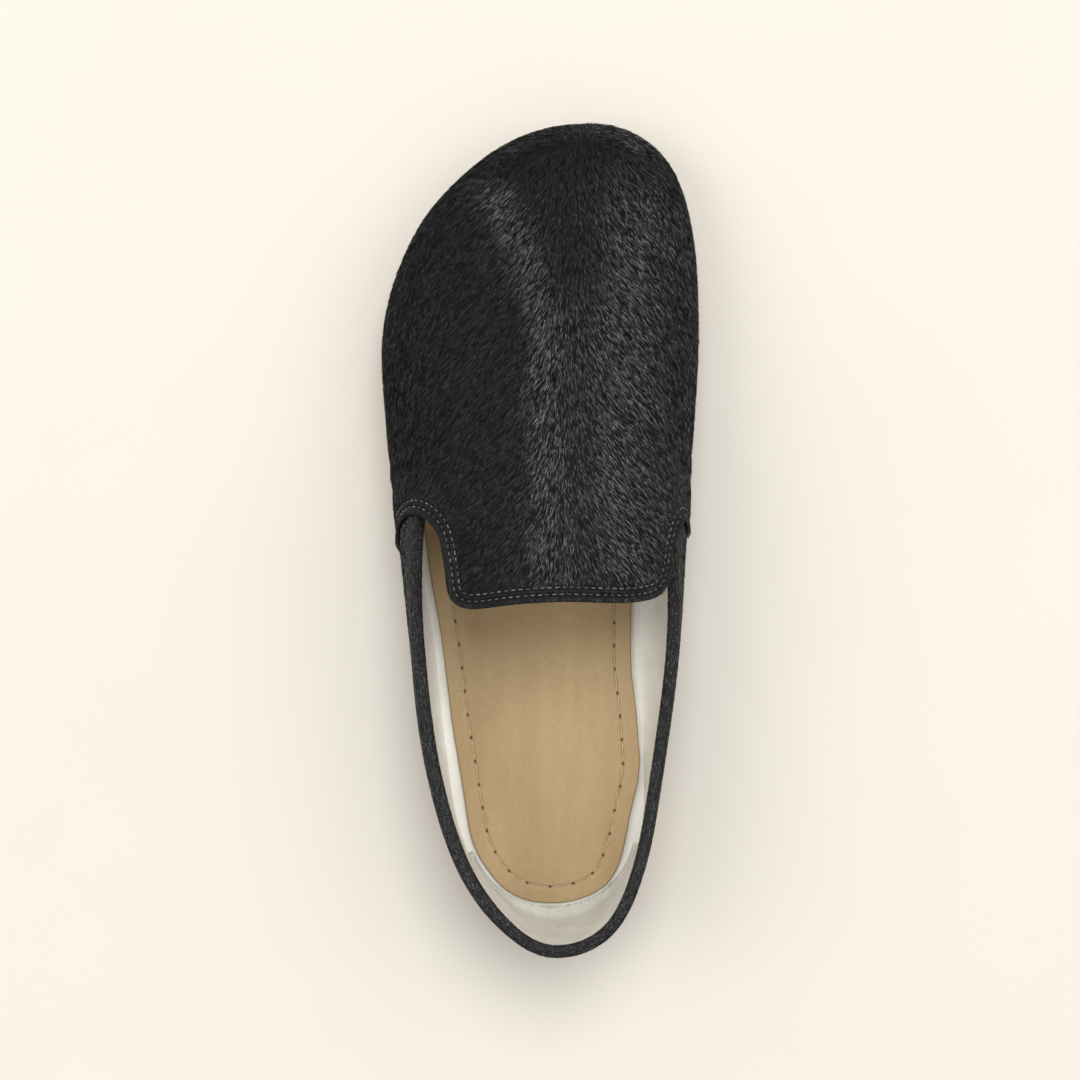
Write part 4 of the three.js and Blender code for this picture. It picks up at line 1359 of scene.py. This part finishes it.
insole_low, insole_top, insole_seam, insole_stitch_count = 4.3, 8.2, 10.5, 70
wider_outside = (
    (-126, -107, -101, -95, -89, -83, -70, -58, -39, -15, -8, -2, 4, 12),
    (0, 1.1, 0.7, 0.8, 1.3, 1.5, 0.9, 0.4, 0, 0, 0.3, 0.9, 1.2, 0))
wider_inside = (
    (-126, -110, -101, -95, -89, -83, -77, -70, -64, -55, -42, -27),
    (0, 0, -1.9, -2.7, -2.5, -1.2, 0.5, 1.4, 1.0, 0.8, 0, 0))


def trimmed(points):
    """The insole's own cut: fuller than the sole's line at the waist, and closer round the heel."""
    x, y = points[:, 0], points[:, 1]
    moved = np.array(points, float)
    aside = np.where(x < 2.5, np.interp(y, *wider_outside), np.interp(y, *wider_inside))
    moved[:, 0] += aside * ease(np.abs(x - 2.5), 4, 20)
    return moved


made = Shape()
profile = [
    (13.3, 6.2), (9, 6.2), (5.7, 6.2), (5.35, 6.34), (5.2, 6.7), (5.2, 7.2), (5.2, 7.75), (5.28, 8.0),
    (5.45, 8.14), (5.75, insole_top),
]
flat, triangles, (edge_ring, hole_ring) = cut_flat([ring_at(13.3), circle(shank_radius)], 4)
low_face = made.add(raised(flat, insole_low))
made.fill(low_face, triangles, down=True)
row = made.climb(low_face[edge_ring], profile)
near_seam = ring_at(6.3, 7.2, 8.4, 9.5, 10.0, 10.25, 10.5, 10.75, 11.0, 11.5, 12.4)
flat, triangles, (edge_ring, top_hole) = cut_flat([ring_at(6.05), circle(shank_radius)], 1.9, near_seam)
inset, _ = nearest(flat, outline_dense)
trodden = 0.14 * lumps(flat, (0.035, 0.03), 9.1) * ease(inset, 6, 14)
high_face = made.add(raised(flat, insole_top + trodden - 0.14 * bell(inset - insole_seam, 0.5)))
made.fill(high_face, triangles)
made.band(row, high_face[edge_ring])
made.band(high_face[top_hole], low_face[hole_ring])
points = np.vstack(made.points)
height = points[:, 2] - lift(points[:, 1])
made.points = [trimmed(points)]
insole = made.piece("insole_leather", insole_hide, "insole_leather", ["insole"])
on_top = height > 7.85
inset = seam_map(insole, points, on_top, insole_seam, insole_stitch_count)
# The edge faces and the underside, all but the top, are painted dark.
store(insole.data, "rubbed", 1 - np.where(inset < 7, ease(height, 7.95, 8.15), on_top))

# Insole stitches. Light thread, in stitches of about 7 mm pressed into the leather.
light_thread, _, _ = fibrous("light_thread", 0.6, 3000, 2, (230, 214, 184), (250, 240, 220), 0.3)
sewn_round(
    "insole_stitches", insole_seam, insole_stitch_count, 8.27, 1, trimmed,
    light_thread, 5.6, 0.6, 0.5, 0.25, 4)

# Rivet and washer. A copper rivet goes down through the insole and the outsole, and its end is
# spread in the middle of a dished copper washer, let into the underside of the forefoot.
copper, tree = surface("worn_copper", 0.32, Metallic=1.0)
rubbed = cloudy(tree, 420, 4)
tint = shades(tree, rubbed, (0.3, 196, 122, 88), (0.7, 224, 156, 120))
feed(tree, "Base Color", blended(tree, marked(tree, "tarnish"), tint, tone(112, 48, 30)))
feed(tree, "Roughness", ranged(tree, rubbed, 0.3, 0.7, 0.24, 0.4))
relief(tree, cloudy(tree, 900, 3, 0.55, (3, 0.3, 1)), 0.12, 0.00008)


def spun(name, outline, node_name):
    """A shape turned about the rivet's axis, from (radius, height, tarnish) round to the start."""
    made = Shape()
    rows, dark = [], []
    for radius, z, tarnish in outline:
        spots = circle(radius) if radius else rivet_place[None]
        rows.append(made.add(np.column_stack([spots, np.full(len(spots), z)])))
        dark += [tarnish] * len(spots)
    for low, high in zip(rows, rows[1:] + rows[:1]):
        if len(low) == len(high) == 1:
            continue
        if len(low) == 1:
            made.faces += np.stack([np.repeat(low, len(high)), np.roll(high, -1), high], 1).tolist()
        elif len(high) == 1:
            made.faces += np.stack([low, np.roll(low, -1), np.repeat(high, len(low))], 1).tolist()
        else:
            made.band(low, high)
    piece = made.piece(name, copper, "copper", [node_name])
    store(piece.data, "tarnish", dark)
    return piece


spun("washer_copper", [
    (2.5, 0.95, 0.5), (3.6, 0.86, 0.8), (4.0, 0.62, 0.9), (4.25, 0.5, 0.5), (5.2, 0.36, 0.05),
    (6.4, 0.24, 0.0), (7.1, 0.17, 0.0), (7.35, 0.15, 0.0), (7.6, 0.19, 0.0), (7.75, 0.32, 0.1),
    (7.8, 0.55, 0.5), (7.8, 1.1, 0.6), (7.7, 1.25, 0.5), (4.0, 1.6, 0.5), (2.5, 1.6, 0.5),
], "rivet_washer")
spun("rivet_copper", [
    (0, 0.42, 0.1), (0.9, 0.4, 0.1), (1.7, 0.33, 0.0), (2.5, 0.27, 0.0), (3.0, 0.25, 0.0), (3.4, 0.3, 0.1),
    (3.62, 0.42, 0.5), (3.7, 0.56, 0.9), (3.7, 0.66, 0.9), (2.2, 0.68, 0.5), (2.2, 8.5, 0.4), (4.8, 8.5, 0.4),
    (5.0, 8.62, 0.3), (5.0, 8.9, 0.1), (4.8, 9.14, 0.0), (4.2, 9.28, 0.0), (2.6, 9.36, 0.0), (0, 9.4, 0.0),
], "rivet")
